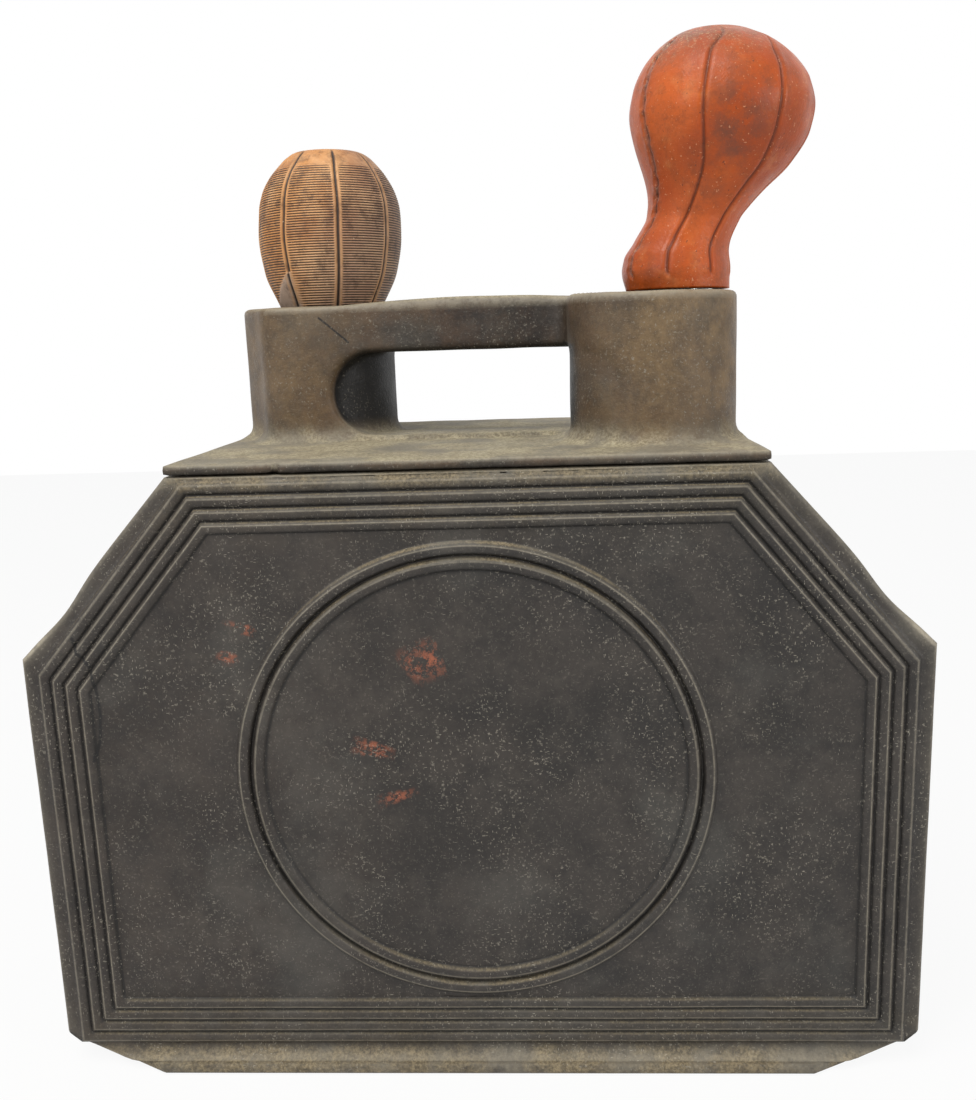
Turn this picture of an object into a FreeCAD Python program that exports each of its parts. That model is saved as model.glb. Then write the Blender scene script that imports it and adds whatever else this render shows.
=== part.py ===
# Battery service kit: a moulded rubber water case with a carrying handle and two towers.
# The right tower holds a battery hydrometer, a syringe of glass with a float in it.
# The left tower holds a water filler, a tube with a ribbed rubber bulb.
# Millimetres. X runs to the right along the face, Y runs to the back and Z runs up.
# The origin is under the middle of the case, on the surface that it stands on.
import FreeCAD, Part
import Sketcher
import os
import re

doc = FreeCAD.newDocument("battery_service_kit")
sheet = doc.addObject("Spreadsheet::Sheet", "Sizes")

# The driving dimensions: name, value, what it is. A value that starts with = follows from others.
SIZES = [
    ("case_width", 269.0, "case over its shoulders, side to side"),
    ("case_depth", 135.0, "case, front face to back face"),
    ("whole_height", 315.48, "ground to the top of the hydrometer's bulb"),
    ("seam_height", "=whole_height - lip_thickness - tower_height - collar_lift"
     " - (collar_radius + top_radius - top_drift) * sin(hydrometer_tilt)"
     " - top_rise * cos(hydrometer_tilt)", "seam between the tank and the top moulding"),
    ("shoulder_drop", 54.0, "top of the upright sides below the seam"),
    ("shoulder_height", "=seam_height - shoulder_drop", "top of the upright sides"),
    ("top_width", 173.0, "case at its top, between the slanted sides"),
    ("lip_thickness", 3.0, "deck of the top moulding, which shows as a lip"),
    ("sole_width", 224.0, "flat sole, side to side"),
    ("sole_thickness", 3.5, "sole plate"),
    ("sole_overhang", 5.0, "sole beyond the front and back faces"),
    ("cove_rise", 5.0, "height of the hollow flare above the sole"),
    ("corner_rise", 8.5, "rounded lower corners of the case, above the sole"),
    ("corner_run", 22.5, "rounded lower corners of the case, sideways"),
    ("tank_wall", 6.0, "wall and floor of the tank"),
    ("reed_inset", 6.6, "outline to the middle of the outermost reed"),
    ("reed_pitch", 3.93, "from reed to reed"),
    ("reed_width", 2.9, "one raised reed"),
    ("reed_drop", 2.7, "reeds' shoulder corners below an even inset"),
    ("bead_height", 1.4, "reeds and ring beads above the face"),
    ("ring_radius", 70.0, "middle of the outer bead of the round panel"),
    ("ring_pitch", 4.7, "from the outer bead of the round panel to the inner"),
    ("ring_height", 97.3, "middle of the round panel above the ground"),
    ("tower_radius", 26.0, "outside of each tower"),
    ("tower_bore", 22.0, "radius of each tower's mouth"),
    ("tower_height", 44.7, "towers above the deck"),
    ("tower_edge", 29.1, "tower axes from the ends of the deck"),
    ("tower_offset", "=top_width / 2 - tower_edge", "tower axes from the middle, sideways"),
    ("tower_stagger", 21.4, "right tower forward and left tower back of the middle"),
    ("handle_depth", 20.0, "handle web, front to back"),
    ("handle_crown", 2.0, "middle of the handle above the rims"),
    ("handle_wing", 13.6, "ends of the handle web beyond the tower axes"),
    ("handle_reach", "=tower_offset + handle_wing", "ends of the handle web from the middle"),
    ("handle_round", 7.0, "upright outer corners of the handle web"),
    ("window_height", 27.6, "grip opening, top to bottom"),
    ("window_width", 96.0, "grip opening, end to end"),
    ("window_sill", 1.5, "bottom of the grip opening above the deck"),
    ("plug_depth", 5.0, "part of the top moulding that sits inside the tank"),
    ("plug_clearance", 0.3, "gap round that part"),
    ("well_wall", 1.5, "tube that the hydrometer stands in"),
    ("well_floor", 3.0, "closed end of that tube"),
    ("well_clearance", 0.2, "gap between that tube and its tower"),
    ("well_recess", 1.7, "top of that tube under the rim"),
    ("pad_thickness", 6.0, "pad in the bottom of the well"),
    ("seat_drop", 12.5, "top of the filler's seat ring under the rim"),
    ("seat_thickness", 6.0, "filler's seat ring"),
    ("seat_bore", 14.8, "radius inside the seat ring"),
    ("seat_ledge", 3.0, "ledge in the left tower that carries the seat ring"),
    ("collar_offset", 7.8, "hydrometer off the axis of its tower, at the rim"),
    ("collar_lift", 0.3, "collar of the hydrometer above the rim where it rests"),
    ("hydrometer_tilt", 3.0, "lean of the hydrometer, in degrees"),
    ("barrel_radius", 11.5, "outside of the glass barrel"),
    ("barrel_wall", 1.3, "glass of the barrel"),
    ("barrel_grip", 12.0, "barrel inside the bulb's neck"),
    ("barrel_length", 180.0, "whole length of the barrel"),
    ("stopper_flange", 7.0, "lower stopper below the glass"),
    ("stopper_plug", 10.0, "lower stopper inside the glass"),
    ("fit_gap", 0.1, "gap between the pieces of one syringe"),
    ("nozzle_radius", 4.5, "hard rubber nozzle"),
    ("nozzle_tip_radius", 3.0, "nozzle at its open end"),
    ("nozzle_bore", 1.5, "radius of the passage in the nozzle"),
    ("nozzle_clearance", 0.4, "nozzle above the pad"),
    ("bumper_thickness", 5.0, "rubber rings that stop the float"),
    ("bumper_bore", 5.0, "radius inside those rings"),
    ("float_radius", 7.5, "body of the float"),
    ("float_body", 62.0, "length of the float's body"),
    ("float_stem_radius", 3.2, "stem of the float"),
    ("float_length", 105.0, "whole float"),
    ("float_wall", 0.8, "glass of the float"),
    ("float_gap", 0.3, "float above the lower bumper at rest"),
    ("ballast_height", 16.0, "shot in the foot of the float"),
    ("scale_length", 34.0, "rolled paper scale in the stem"),
    ("scale_thickness", 0.4, "rolled paper scale, through its turns"),
    ("bulb_wall", 2.6, "rubber of both bulbs"),
    ("collar_radius", 15.6, "hydrometer bulb at its foot"),
    ("bead_radius", 16.5, "swelling above the foot"),
    ("bead_rise", 6.0, "height of that swelling"),
    ("waist_radius", 13.4, "narrowest part of the neck"),
    ("waist_rise", 21.0, "height of the waist"),
    ("waist_drift", 3.2, "waist off the syringe's axis"),
    ("flare_radius", 17.2, "neck where it opens out"),
    ("flare_rise", 29.3, "height of that part"),
    ("flare_drift", 7.1, "that part off the axis"),
    ("cheek_radius", 22.6, "under the belly"),
    ("cheek_rise", 37.1, "height under the belly"),
    ("cheek_drift", 10.2, "that part off the axis"),
    ("belly_radius", 27.8, "widest part of the bulb"),
    ("belly_rise", 53.4, "height of the widest part"),
    ("belly_drift", 11.3, "widest part off the axis"),
    ("crown_radius", 22.6, "above the belly"),
    ("crown_rise", 67.0, "height above the belly"),
    ("crown_drift", 10.3, "that part off the axis"),
    ("brow_radius", 17.2, "close under the flat top"),
    ("brow_rise", 72.2, "height of that part"),
    ("brow_drift", 9.6, "that part off the axis"),
    ("top_radius", 8.0, "flat top of the bulb"),
    ("top_rise", 76.8, "height of the top"),
    ("top_drift", 8.6, "top off the axis"),
    ("filler_neck_radius", 9.6, "filler bulb at its foot"),
    ("filler_neck_drop", 25.0, "foot of the filler bulb under the rim"),
    ("filler_seat_radius", 13.2, "filler bulb where the ring carries it"),
    ("filler_mouth_radius", 17.0, "filler bulb at the rim of its tower"),
    ("filler_mouth_drift", 3.4, "that part off the tower's axis"),
    ("filler_cheek_radius", 23.0, "filler bulb under its belly"),
    ("filler_cheek_rise", 12.8, "height of that part above the rim"),
    ("filler_belly_radius", 25.4, "widest part of the filler bulb"),
    ("filler_belly_rise", 26.3, "height of the widest part"),
    ("filler_lean", 5.2, "filler bulb off the tower's axis"),
    ("filler_crown_radius", 21.3, "filler bulb above its belly"),
    ("filler_crown_rise", 42.6, "height of that part"),
    ("filler_edge_radius", 16.0, "filler bulb under its flat top"),
    ("filler_edge_rise", 50.4, "height of that part"),
    ("filler_top_radius", 10.6, "flat top of the filler bulb"),
    ("filler_top_rise", 54.4, "height of the top"),
    ("filler_tube_radius", 4.0, "outside of the filler tube"),
    ("filler_tube_bore", 2.5, "radius of the passage in the tube"),
    ("filler_grip", 18.0, "tube and plug inside the bulb's neck"),
    ("filler_plug_radius", 6.2, "plug between tube and bulb"),
    ("filler_flange", 3.0, "flange of the plug under the bulb"),
    ("tip_length", 26.0, "tapered tip of the filler"),
    ("tip_grip", 10.0, "tube inside the tip"),
    ("tip_clearance", 5.0, "tip above the floor of the tank"),
]

NAMES = set()
for row, (alias, value, note) in enumerate(SIZES, 1):
    sheet.set("A%d" % row, alias)
    sheet.set("B%d" % row, str(value))
    sheet.setAlias("B%d" % row, alias)
    sheet.set("C%d" % row, note)
    NAMES.add(alias)
doc.recompute()


def formula(text):
    """The text with each name of a size turned into its cell of the sheet."""
    return re.sub(r"[a-z_]+", lambda word: "Sizes." + word[0] if word[0] in NAMES else word[0], text)


def number(text):
    """What a formula comes to now, for the first drawing of a sketch."""
    value = sheet.evalExpression(formula(text))
    return float(getattr(value, "Value", value))


def bind(thing, field, text):
    thing.setExpression(field, formula(text))


# Heights and places that several pieces share
DECK = "(seam_height + lip_thickness)"
RIM = "(seam_height + lip_thickness + tower_height)"
FLOOR = "(sole_thickness + tank_wall)"
SLANT = "atan((case_width - top_width) / 2 / (seam_height - shoulder_height))"
PAD_TOP = "(sole_thickness + tank_wall + well_floor + pad_thickness)"
COLLAR_HEIGHT = "(" + RIM + " + collar_lift + collar_radius * sin(hydrometer_tilt))"
BARREL_FOOT = "(barrel_grip - barrel_length)"
STOPPER_TOP = "(barrel_grip - barrel_length + stopper_plug)"
FLOAT_FOOT = "(barrel_grip - barrel_length + stopper_plug + bumper_thickness + float_gap)"
NOZZLE_TIP = "(" + PAD_TOP + " + nozzle_clearance - " + COLLAR_HEIGHT + ") / cos(hydrometer_tilt)"

subparts = []


def place(piece, across="0", back="0", up="0", tilt="0"):
    """Sets a sub-part's Placement: where its own origin lies, and its lean to the right in degrees."""
    text = ("create(<<placement>>; create(<<vector>>; %s; %s; %s); "
            "create(<<rotation>>; create(<<vector>>; 0; 1; 0); %s))")
    bind(piece, "Placement", text % (across, back, up, tilt))


def new_body(label):
    body = doc.addObject("PartDesign::Body", label)
    body.Label = label
    subparts.append(body)
    return body


def in_hydrometer(body):
    """Seats a sub-part of the hydrometer: its origin is the middle of the bulb's foot."""
    place(body, "tower_offset + collar_offset", "-tower_stagger", COLLAR_HEIGHT, "hydrometer_tilt")


def in_filler(body):
    """Seats a sub-part of the filler: its origin is on the left tower's axis, at the rim."""
    place(body, "-tower_offset", "tower_stagger", RIM)


def plane_of(body, role):
    return [face for face in body.Origin.OriginFeatures if face.Role == role][0]


def new_sketch(body, name, role, lift):
    sketch = body.newObject("Sketcher::SketchObject", name)
    sketch.AttachmentSupport = [(plane_of(body, role), "")]
    sketch.MapMode = "FlatFace"
    bind(sketch, "AttachmentOffset.Base.z", lift)
    return sketch


def pin_point(sketch, edge, end, across, up):
    """Holds one end of an edge at its distances from the two axes of the sketch."""
    for kind, text in (("DistanceX", across), ("DistanceY", up)):
        index = sketch.addConstraint(Sketcher.Constraint(kind, -1, 1, edge, end, number(text)))
        sketch.setExpression("Constraints[%d]" % index, formula(text))


def draw_outline(sketch, corners):
    """Draws a closed outline. A corner is two formulas, and a third is the radius of the arc to the next."""
    first = sketch.GeometryCount
    spots = [FreeCAD.Vector(number(c[0]), number(c[1]), 0) for c in corners]
    for index, corner in enumerate(corners):
        start, end = spots[index], spots[(index + 1) % len(corners)]
        if len(corner) == 2:
            sketch.addGeometry(Part.LineSegment(start, end), False)
            continue
        radius = number(corner[2])
        chord = end - start
        middle = (start + end) * 0.5
        side = FreeCAD.Vector(chord.y, -chord.x, 0).normalize()
        rise = abs(radius) - (radius ** 2 - chord.Length ** 2 / 4) ** 0.5
        crown = middle + side * (rise if radius > 0 else -rise)
        sketch.addGeometry(Part.Arc(start, crown, end), False)
    for index, corner in enumerate(corners):
        if len(corner) == 2:
            pin_point(sketch, first + index, 1, corner[0], corner[1])
    for index, corner in enumerate(corners):
        following = (index + 1) % len(corners)
        here = end_toward(sketch, first + index, spots[following])
        there = end_toward(sketch, first + following, spots[following])
        sketch.addConstraint(Sketcher.Constraint("Coincident", first + index, here, first + following, there))
        if len(corner) == 3:
            back = end_toward(sketch, first + index, spots[index])
            pin_point(sketch, first + index, back, corner[0], corner[1])
            index_of = sketch.addConstraint(Sketcher.Constraint("Radius", first + index, abs(number(corner[2]))))
            sketch.setExpression("Constraints[%d]" % index_of, formula("abs(%s)" % corner[2]))


def end_toward(sketch, edge, spot):
    """Which end of an edge, 1 or 2, lies on a spot, because an arc may be stored either way round."""
    starts = sketch.getPoint(edge, 1)
    ends = sketch.getPoint(edge, 2)
    return 1 if (starts - spot).Length < (ends - spot).Length else 2


def draw_circle(sketch, radius, across="0", up="0"):
    centre = FreeCAD.Vector(number(across), number(up), 0)
    edge = sketch.addGeometry(Part.Circle(centre, FreeCAD.Vector(0, 0, 1), number(radius)), False)
    pin_point(sketch, edge, 3, across, up)
    index = sketch.addConstraint(Sketcher.Constraint("Radius", edge, number(radius)))
    sketch.setExpression("Constraints[%d]" % index, formula(radius))


def pad(body, name, sketch, length, both_ways=False):
    feature = body.newObject("PartDesign::Pad", name)
    feature.Profile = sketch
    bind(feature, "Length", length)
    if both_ways:
        feature.SideType = "Symmetric"
    return feature


def cut_volume(body):
    doc.recompute()
    return body.Shape.Volume


def pocket(body, name, sketch, length, both_ways=False, upward=False):
    """Cuts a sketch into the body, and makes sure that it takes something away."""
    before = cut_volume(body)
    feature = body.newObject("PartDesign::Pocket", name)
    feature.Profile = sketch
    bind(feature, "Length", length)
    if both_ways:
        feature.SideType = "Symmetric"
    feature.Reversed = upward
    if cut_volume(body) >= before:
        raise RuntimeError(name + " cuts nothing")
    return feature


def round_edges(body, name, radius, wanted):
    """Rounds the straight edges that a test of their middle and direction picks out."""
    names = []
    base = body.Tip
    for index, edge in enumerate(base.Shape.Edges, 1):
        chord = edge.Vertexes[-1].Point - edge.Vertexes[0].Point
        if chord.Length > 0 and wanted(edge.CenterOfMass, chord.normalize()):
            names.append("Edge%d" % index)
    if not names:
        raise RuntimeError(name + " finds no edge")
    feature = body.newObject("PartDesign::Fillet", name)
    feature.Base = (base, names)
    bind(feature, "Radius", radius)
    doc.recompute()
    return feature


def mirror(body, name, features, role):
    feature = body.newObject("PartDesign::Mirrored", name)
    feature.Originals = features
    feature.MirrorPlane = (plane_of(body, role), [""])
    body.Tip = feature
    return feature


def revolve(body, name, corners):
    """Turns an outline of radius and height once round the body's own Z axis."""
    sketch = new_sketch(body, name + "_profile", "XZ_Plane", "0")
    draw_outline(sketch, corners)
    feature = body.newObject("PartDesign::Revolution", name)
    feature.Profile = sketch
    feature.ReferenceAxis = (sketch, ["V_Axis"])
    feature.Angle = 360
    return feature


def loft(body, name, kind, stations):
    """Skins a row of level circles, each with a height, a radius and a drift to the right."""
    sketches = []
    for index, (height, radius, drift) in enumerate(stations):
        sketch = new_sketch(body, "%s_circle_%d" % (name, index), "XY_Plane", height)
        draw_circle(sketch, radius, drift)
        sketches.append(sketch)
    doc.recompute()
    feature = body.newObject("PartDesign::" + kind, name)
    feature.Profile = sketches[0]
    feature.Sections = [(sketch, [""]) for sketch in sketches[1:]]
    feature.Ruled = False
    doc.recompute()
    return feature


def case_outline(inset, low, high, drop="0"):
    """Front outline of the case at a steady inset. low and high are its bottom and top heights,
    and drop lowers its two shoulder corners."""
    side = "(case_width / 2 - (%s))" % inset
    shoulder = "(shoulder_height - (%s) * tan(%s / 2) - %s)" % (inset, SLANT, drop)
    top = "(top_width / 2 - (%s) / cos(%s) - (%s - seam_height) * tan(%s))" % (inset, SLANT, high, SLANT)
    return [("-" + side, low), (side, low), (side, shoulder), (top, high), ("-" + top, high), ("-" + side, shoulder)]


def make_tank_shell():
    """The tank: six flat walls and a floor, open at the top, with its reeds and ring beads."""
    body = new_body("tank_shell")
    place(body)
    front = new_sketch(body, "front_outline", "XZ_Plane", "0")
    low_side = "(case_width / 2 - corner_run)"
    mid_side = "(case_width / 2 - corner_run * 0.3)"
    draw_outline(front, [
        ("-" + low_side, "sole_thickness"), (low_side, "sole_thickness"),
        (mid_side, "sole_thickness + corner_rise * 0.35"),
        ("case_width / 2", "sole_thickness + corner_rise"), ("case_width / 2", "shoulder_height"),
        ("top_width / 2", "seam_height"), ("-top_width / 2", "seam_height"),
        ("-case_width / 2", "shoulder_height"), ("-case_width / 2", "sole_thickness + corner_rise"),
        ("-" + mid_side, "sole_thickness + corner_rise * 0.35")])
    pad(body, "block", front, "case_depth", both_ways=True)

    flare = new_sketch(body, "cove_profile", "YZ_Plane", "0")
    foot_face = "(-case_depth / 2)"
    draw_outline(flare, [
        (foot_face + " - sole_overhang", "sole_thickness"), (foot_face + " + tank_wall / 2", "sole_thickness"),
        (foot_face + " + tank_wall / 2", "sole_thickness + cove_rise"),
        (foot_face, "sole_thickness + cove_rise", "cove_rise * 1.6")])
    cove = pad(body, "cove", flare, "sole_width", both_ways=True)

    reeds = new_sketch(body, "reed_outlines", "XZ_Plane", "case_depth / 2")
    for index in range(4):
        middle = "reed_inset + %d * reed_pitch" % index
        for half in ("- reed_width / 2", "+ reed_width / 2"):
            inset = "(%s %s)" % (middle, half)
            low = "(sole_thickness + %s)" % inset
            high = "(%s - %s)" % (DECK, inset)
            draw_outline(reeds, case_outline(inset, low, high, "reed_drop"))
    raised = pad(body, "reeds", reeds, "bead_height")

    rings = new_sketch(body, "ring_circles", "XZ_Plane", "case_depth / 2")
    for index in range(2):
        for half in ("- reed_width / 2", "+ reed_width / 2"):
            draw_circle(rings, "ring_radius - %d * ring_pitch %s" % (index, half), "0", "ring_height")
    circles = pad(body, "ring_beads", rings, "bead_height")
    mirror(body, "back_face", [cove, raised, circles], "XZ_Plane")

    hollow = new_sketch(body, "water_space", "XZ_Plane", "0")
    draw_outline(hollow, [
        ("-case_width / 2 + corner_run + tank_wall", FLOOR), ("case_width / 2 - corner_run - tank_wall", FLOOR),
        ("case_width / 2 - tank_wall", FLOOR + " + corner_rise")]
        + case_outline("tank_wall", FLOOR, "seam_height")[2:5]
        + [("-" + case_outline("tank_wall", FLOOR, "seam_height")[1][0],
            case_outline("tank_wall", FLOOR, "seam_height")[2][1]),
           ("-case_width / 2 + tank_wall", FLOOR + " + corner_rise")])
    pocket(body, "hollow", hollow, "case_depth - 2 * tank_wall", both_ways=True)


def make_base_sole():
    """The flat sole, which stands out in front and behind and is clipped at its four corners."""
    body = new_body("base_sole")
    place(body)
    plan = new_sketch(body, "plan", "XY_Plane", "0")
    side = "(sole_width / 2)"
    clipped = "(sole_width / 2 - sole_overhang * 2)"
    edge = "(case_depth / 2 + sole_overhang)"
    near = "(case_depth / 2)"
    draw_outline(plan, [
        ("-" + clipped, "-" + edge), (clipped, "-" + edge), (side, "-" + near), (side, near),
        (clipped, edge), ("-" + clipped, edge), ("-" + side, near), ("-" + side, "-" + near)])
    pad(body, "plate", plan, "sole_thickness")


def tower_spots():
    """The axes of the left and the right tower, as formulas."""
    return [("-tower_offset", "tower_stagger"), ("tower_offset", "-tower_stagger")]


def make_top_moulding():
    """Deck with its lip, both towers and the handle between them, moulded in one piece."""
    body = new_body("top_moulding")
    place(body)
    deck = new_sketch(body, "deck_plan", "XY_Plane", "seam_height")
    across, back = "(top_width / 2)", "(case_depth / 2)"
    draw_outline(deck, [("-" + across, "-" + back), (across, "-" + back), (across, back), ("-" + across, back)])
    pad(body, "deck", deck, "lip_thickness")

    skirt = new_sketch(body, "plug_plan", "XY_Plane", "seam_height - plug_depth")
    across = "(top_width / 2 - tank_wall / cos(%s) - plug_clearance)" % SLANT
    back = "(case_depth / 2 - tank_wall - plug_clearance)"
    draw_outline(skirt, [("-" + across, "-" + back), (across, "-" + back), (across, back), ("-" + across, back)])
    pad(body, "plug", skirt, "plug_depth")

    web = new_sketch(body, "handle_outline", "XZ_Plane", "0")
    reach = "handle_reach"
    draw_outline(web, [
        ("-" + reach, DECK), (reach, DECK), (reach, RIM),
        ("tower_offset / 2", RIM + " + handle_crown * 0.8"), ("0", RIM + " + handle_crown"),
        ("-tower_offset / 2", RIM + " + handle_crown * 0.8"), ("-" + reach, RIM)])
    pad(body, "handle_web", web, "handle_depth", both_ways=True)
    doc.recompute()
    end, face = number("handle_reach"), number("handle_depth / 2")
    round_edges(body, "web_ends", "handle_round", lambda middle, along: (
        abs(along.z) > 0.99 and abs(abs(middle.x) - end) < 0.01 and abs(abs(middle.y) - face) < 0.01))

    low, high = DECK + " + window_sill", DECK + " + window_sill + window_height"
    flat = "(window_width / 2 - window_height / 2)"
    window = new_sketch(body, "window_middle", "XZ_Plane", "0")
    draw_outline(window, [("-" + flat, low), (flat, low), (flat, high), ("-" + flat, high)])
    pocket(body, "grip_opening", window, "2 * handle_depth", both_ways=True)
    ends = new_sketch(body, "window_ends", "XZ_Plane", "0")
    for side in ("-", ""):
        draw_circle(ends, "window_height / 2", side + flat, DECK + " + window_sill + window_height / 2")
    pocket(body, "grip_ends", ends, "2 * handle_depth", both_ways=True)

    towers = new_sketch(body, "tower_circles", "XY_Plane", DECK)
    for across, back in tower_spots():
        draw_circle(towers, "tower_radius", across, back)
    pad(body, "towers", towers, "tower_height")

    left, right = tower_spots()
    above = RIM + " + handle_crown"
    through = "handle_crown + tower_height + lip_thickness + plug_depth"
    for name, radius, (across, back), depth in (
            ("right_bore", "tower_bore", right, through),
            ("left_socket", "tower_bore", left, "handle_crown + seat_drop + seat_thickness"),
            ("left_bore", "tower_bore - seat_ledge", left, through)):
        mouth = new_sketch(body, name + "_circle", "XY_Plane", above)
        draw_circle(mouth, radius, across, back)
        pocket(body, name, mouth, depth)


def make_hydrometer_well():
    """A tube with a closed foot that stands on the floor of the tank and keeps the hydrometer's drips."""
    body = new_body("hydrometer_well")
    place(body, "tower_offset", "-tower_stagger", FLOOR)
    outer = "(tower_bore - well_clearance)"
    rim = "(%s - %s - well_recess)" % (RIM, FLOOR)
    revolve(body, "tube", [
        ("0", "0"), (outer, "0"), (outer, rim), (outer + " - well_wall", rim),
        (outer + " - well_wall", "well_floor"), ("0", "well_floor")])


def make_well_pad():
    """A rubber disc in the foot of the well, under the nozzle."""
    body = new_body("well_pad")
    place(body, "tower_offset", "-tower_stagger", FLOOR + " + well_floor")
    edge = "(tower_bore - well_clearance - well_wall - fit_gap)"
    revolve(body, "disc", [("0", "0"), (edge, "0"), (edge, "pad_thickness"), ("0", "pad_thickness")])


def make_filler_seat():
    """The rubber ring in the left tower that carries the filler's bulb."""
    body = new_body("filler_seat")
    in_filler(body)
    revolve(body, "ring", [
        ("seat_bore", "-seat_drop - seat_thickness"), ("tower_bore", "-seat_drop - seat_thickness"),
        ("tower_bore", "-seat_drop"), ("seat_bore", "-seat_drop")])


HYDROMETER_BULB = [
    ("0", "collar_radius", "0"), ("bead_rise", "bead_radius", "0"), ("waist_rise", "waist_radius", "waist_drift"),
    ("flare_rise", "flare_radius", "flare_drift"), ("cheek_rise", "cheek_radius", "cheek_drift"),
    ("belly_rise", "belly_radius", "belly_drift"), ("crown_rise", "crown_radius", "crown_drift"),
    ("brow_rise", "brow_radius", "brow_drift"), ("top_rise", "top_radius", "top_drift")]

FILLER_BULB = [
    ("-filler_neck_drop", "filler_neck_radius", "0"),
    ("-seat_drop", "filler_seat_radius", "filler_mouth_drift / 4"),
    ("0", "filler_mouth_radius", "filler_mouth_drift"),
    ("filler_cheek_rise", "filler_cheek_radius", "filler_lean"),
    ("filler_belly_rise", "filler_belly_radius", "filler_lean"),
    ("filler_crown_rise", "filler_crown_radius", "filler_lean"),
    ("filler_edge_rise", "filler_edge_radius", "filler_lean"),
    ("filler_top_rise", "filler_top_radius", "filler_lean")]


def bulb(label, stations, mouth_radius, mouth_foot, mouth_length, throat):
    """A hollow bulb: a skin through its stations, a smaller one inside and a round mouth at its foot.
    throat is the lowest circle of the air space, under the first station that lies clear of the mouth."""
    body = new_body(label)
    loft(body, "skin", "AdditiveLoft", stations)
    before = body.Shape.Volume
    inside = [throat]
    inside += [(height, radius + " - bulb_wall", drift) for height, radius, drift in stations[2:-1]]
    top, radius, drift = stations[-1]
    inside.append((top + " - bulb_wall", radius + " - bulb_wall / 2", drift))
    loft(body, "air_space", "SubtractiveLoft", inside)
    mouth = new_sketch(body, "mouth_circle", "XY_Plane", mouth_foot)
    draw_circle(mouth, mouth_radius)
    pocket(body, "mouth", mouth, mouth_length, upward=True)
    if body.Shape.Volume > before * 0.7 or len(body.Shape.Solids) != 1:
        raise RuntimeError(label + " isn't one hollow shell")
    return body


def make_hydrometer():
    """Bulb, glass barrel, lower stopper, nozzle and the two rubber rings that stop the float."""
    throat = ("barrel_grip", "barrel_radius - barrel_wall", "0")
    body = bulb("hydrometer_bulb", HYDROMETER_BULB, "barrel_radius + fit_gap", "0", "barrel_grip + fit_gap", throat)
    in_hydrometer(body)

    barrel = new_body("glass_barrel")
    in_hydrometer(barrel)
    bore = "(barrel_radius - barrel_wall)"
    revolve(barrel, "glass", [
        (bore, BARREL_FOOT), ("barrel_radius", BARREL_FOOT), ("barrel_radius", "barrel_grip"),
        (bore, "barrel_grip")])

    stopper = new_body("lower_stopper")
    in_hydrometer(stopper)
    hole = "(nozzle_radius + fit_gap)"
    plug = "(barrel_radius - barrel_wall - fit_gap)"
    below = "(%s - fit_gap)" % BARREL_FOOT
    revolve(stopper, "rubber", [
        (hole, below + " - stopper_flange"), ("barrel_radius * 0.8", below + " - stopper_flange"),
        ("barrel_radius + fit_gap", below), (plug, below), (plug, STOPPER_TOP), (hole, STOPPER_TOP)])

    nozzle = new_body("hydrometer_nozzle")
    in_hydrometer(nozzle)
    shoulder = "(%s - stopper_flange)" % below
    revolve(nozzle, "tube", [
        ("nozzle_bore", NOZZLE_TIP), ("nozzle_tip_radius", NOZZLE_TIP), ("nozzle_radius", shoulder),
        ("nozzle_radius", STOPPER_TOP), ("nozzle_bore", STOPPER_TOP)])

    for label, foot in (("lower_float_bumper", STOPPER_TOP), ("upper_float_bumper", "0")):
        bumper = new_body(label)
        in_hydrometer(bumper)
        revolve(bumper, "ring", [
            ("bumper_bore", foot), (plug, foot), (plug, foot + " + bumper_thickness"),
            ("bumper_bore", foot + " + bumper_thickness")])


def make_float():
    """The float: a closed glass body with a stem, shot in its foot and a rolled scale in its stem."""
    foot = FLOAT_FOOT
    neck = "(%s + float_body)" % foot
    crown = "(%s + float_length)" % foot
    inner, stem = "(float_radius - float_wall)", "(float_stem_radius - float_wall)"
    glass = new_body("float_glass")
    in_hydrometer(glass)
    sketch_points = [
        ("0", foot), ("float_radius * 0.6", foot), ("float_radius", foot + " + float_radius * 0.7"),
        ("float_radius", neck + " - float_radius"), ("float_stem_radius", neck), ("float_stem_radius", crown),
        ("0", crown)]
    revolve(glass, "outside", sketch_points)
    sketch = new_sketch(glass, "air_profile", "XZ_Plane", "0")
    draw_outline(sketch, [
        ("0", foot + " + float_wall"), ("float_radius * 0.6 - float_wall / 2", foot + " + float_wall"),
        (inner, foot + " + float_radius * 0.7 + float_wall / 2"), (inner, neck + " - float_radius"),
        (stem, neck), (stem, crown + " - float_wall"), ("0", crown + " - float_wall")])
    before = cut_volume(glass)
    groove = glass.newObject("PartDesign::Groove", "air_space")
    groove.Profile = sketch
    groove.ReferenceAxis = (sketch, ["V_Axis"])
    groove.Angle = 360
    if cut_volume(glass) >= before:
        raise RuntimeError("the float isn't hollow")

    ballast = new_body("float_ballast")
    in_hydrometer(ballast)
    low = foot + " + float_wall + fit_gap"
    revolve(ballast, "shot", [
        ("0", low), ("float_radius * 0.6 - float_wall", low),
        (inner + " - fit_gap", foot + " + float_radius * 0.7 + float_wall"),
        (inner + " - fit_gap", low + " + ballast_height"), ("0", low + " + ballast_height")])

    scale = new_body("float_scale")
    in_hydrometer(scale)
    outside = stem + " - fit_gap"
    revolve(scale, "paper", [
        (outside + " - scale_thickness", neck + " + float_wall"), (outside, neck + " + float_wall"),
        (outside, neck + " + float_wall + scale_length"),
        (outside + " - scale_thickness", neck + " + float_wall + scale_length")])


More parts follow.
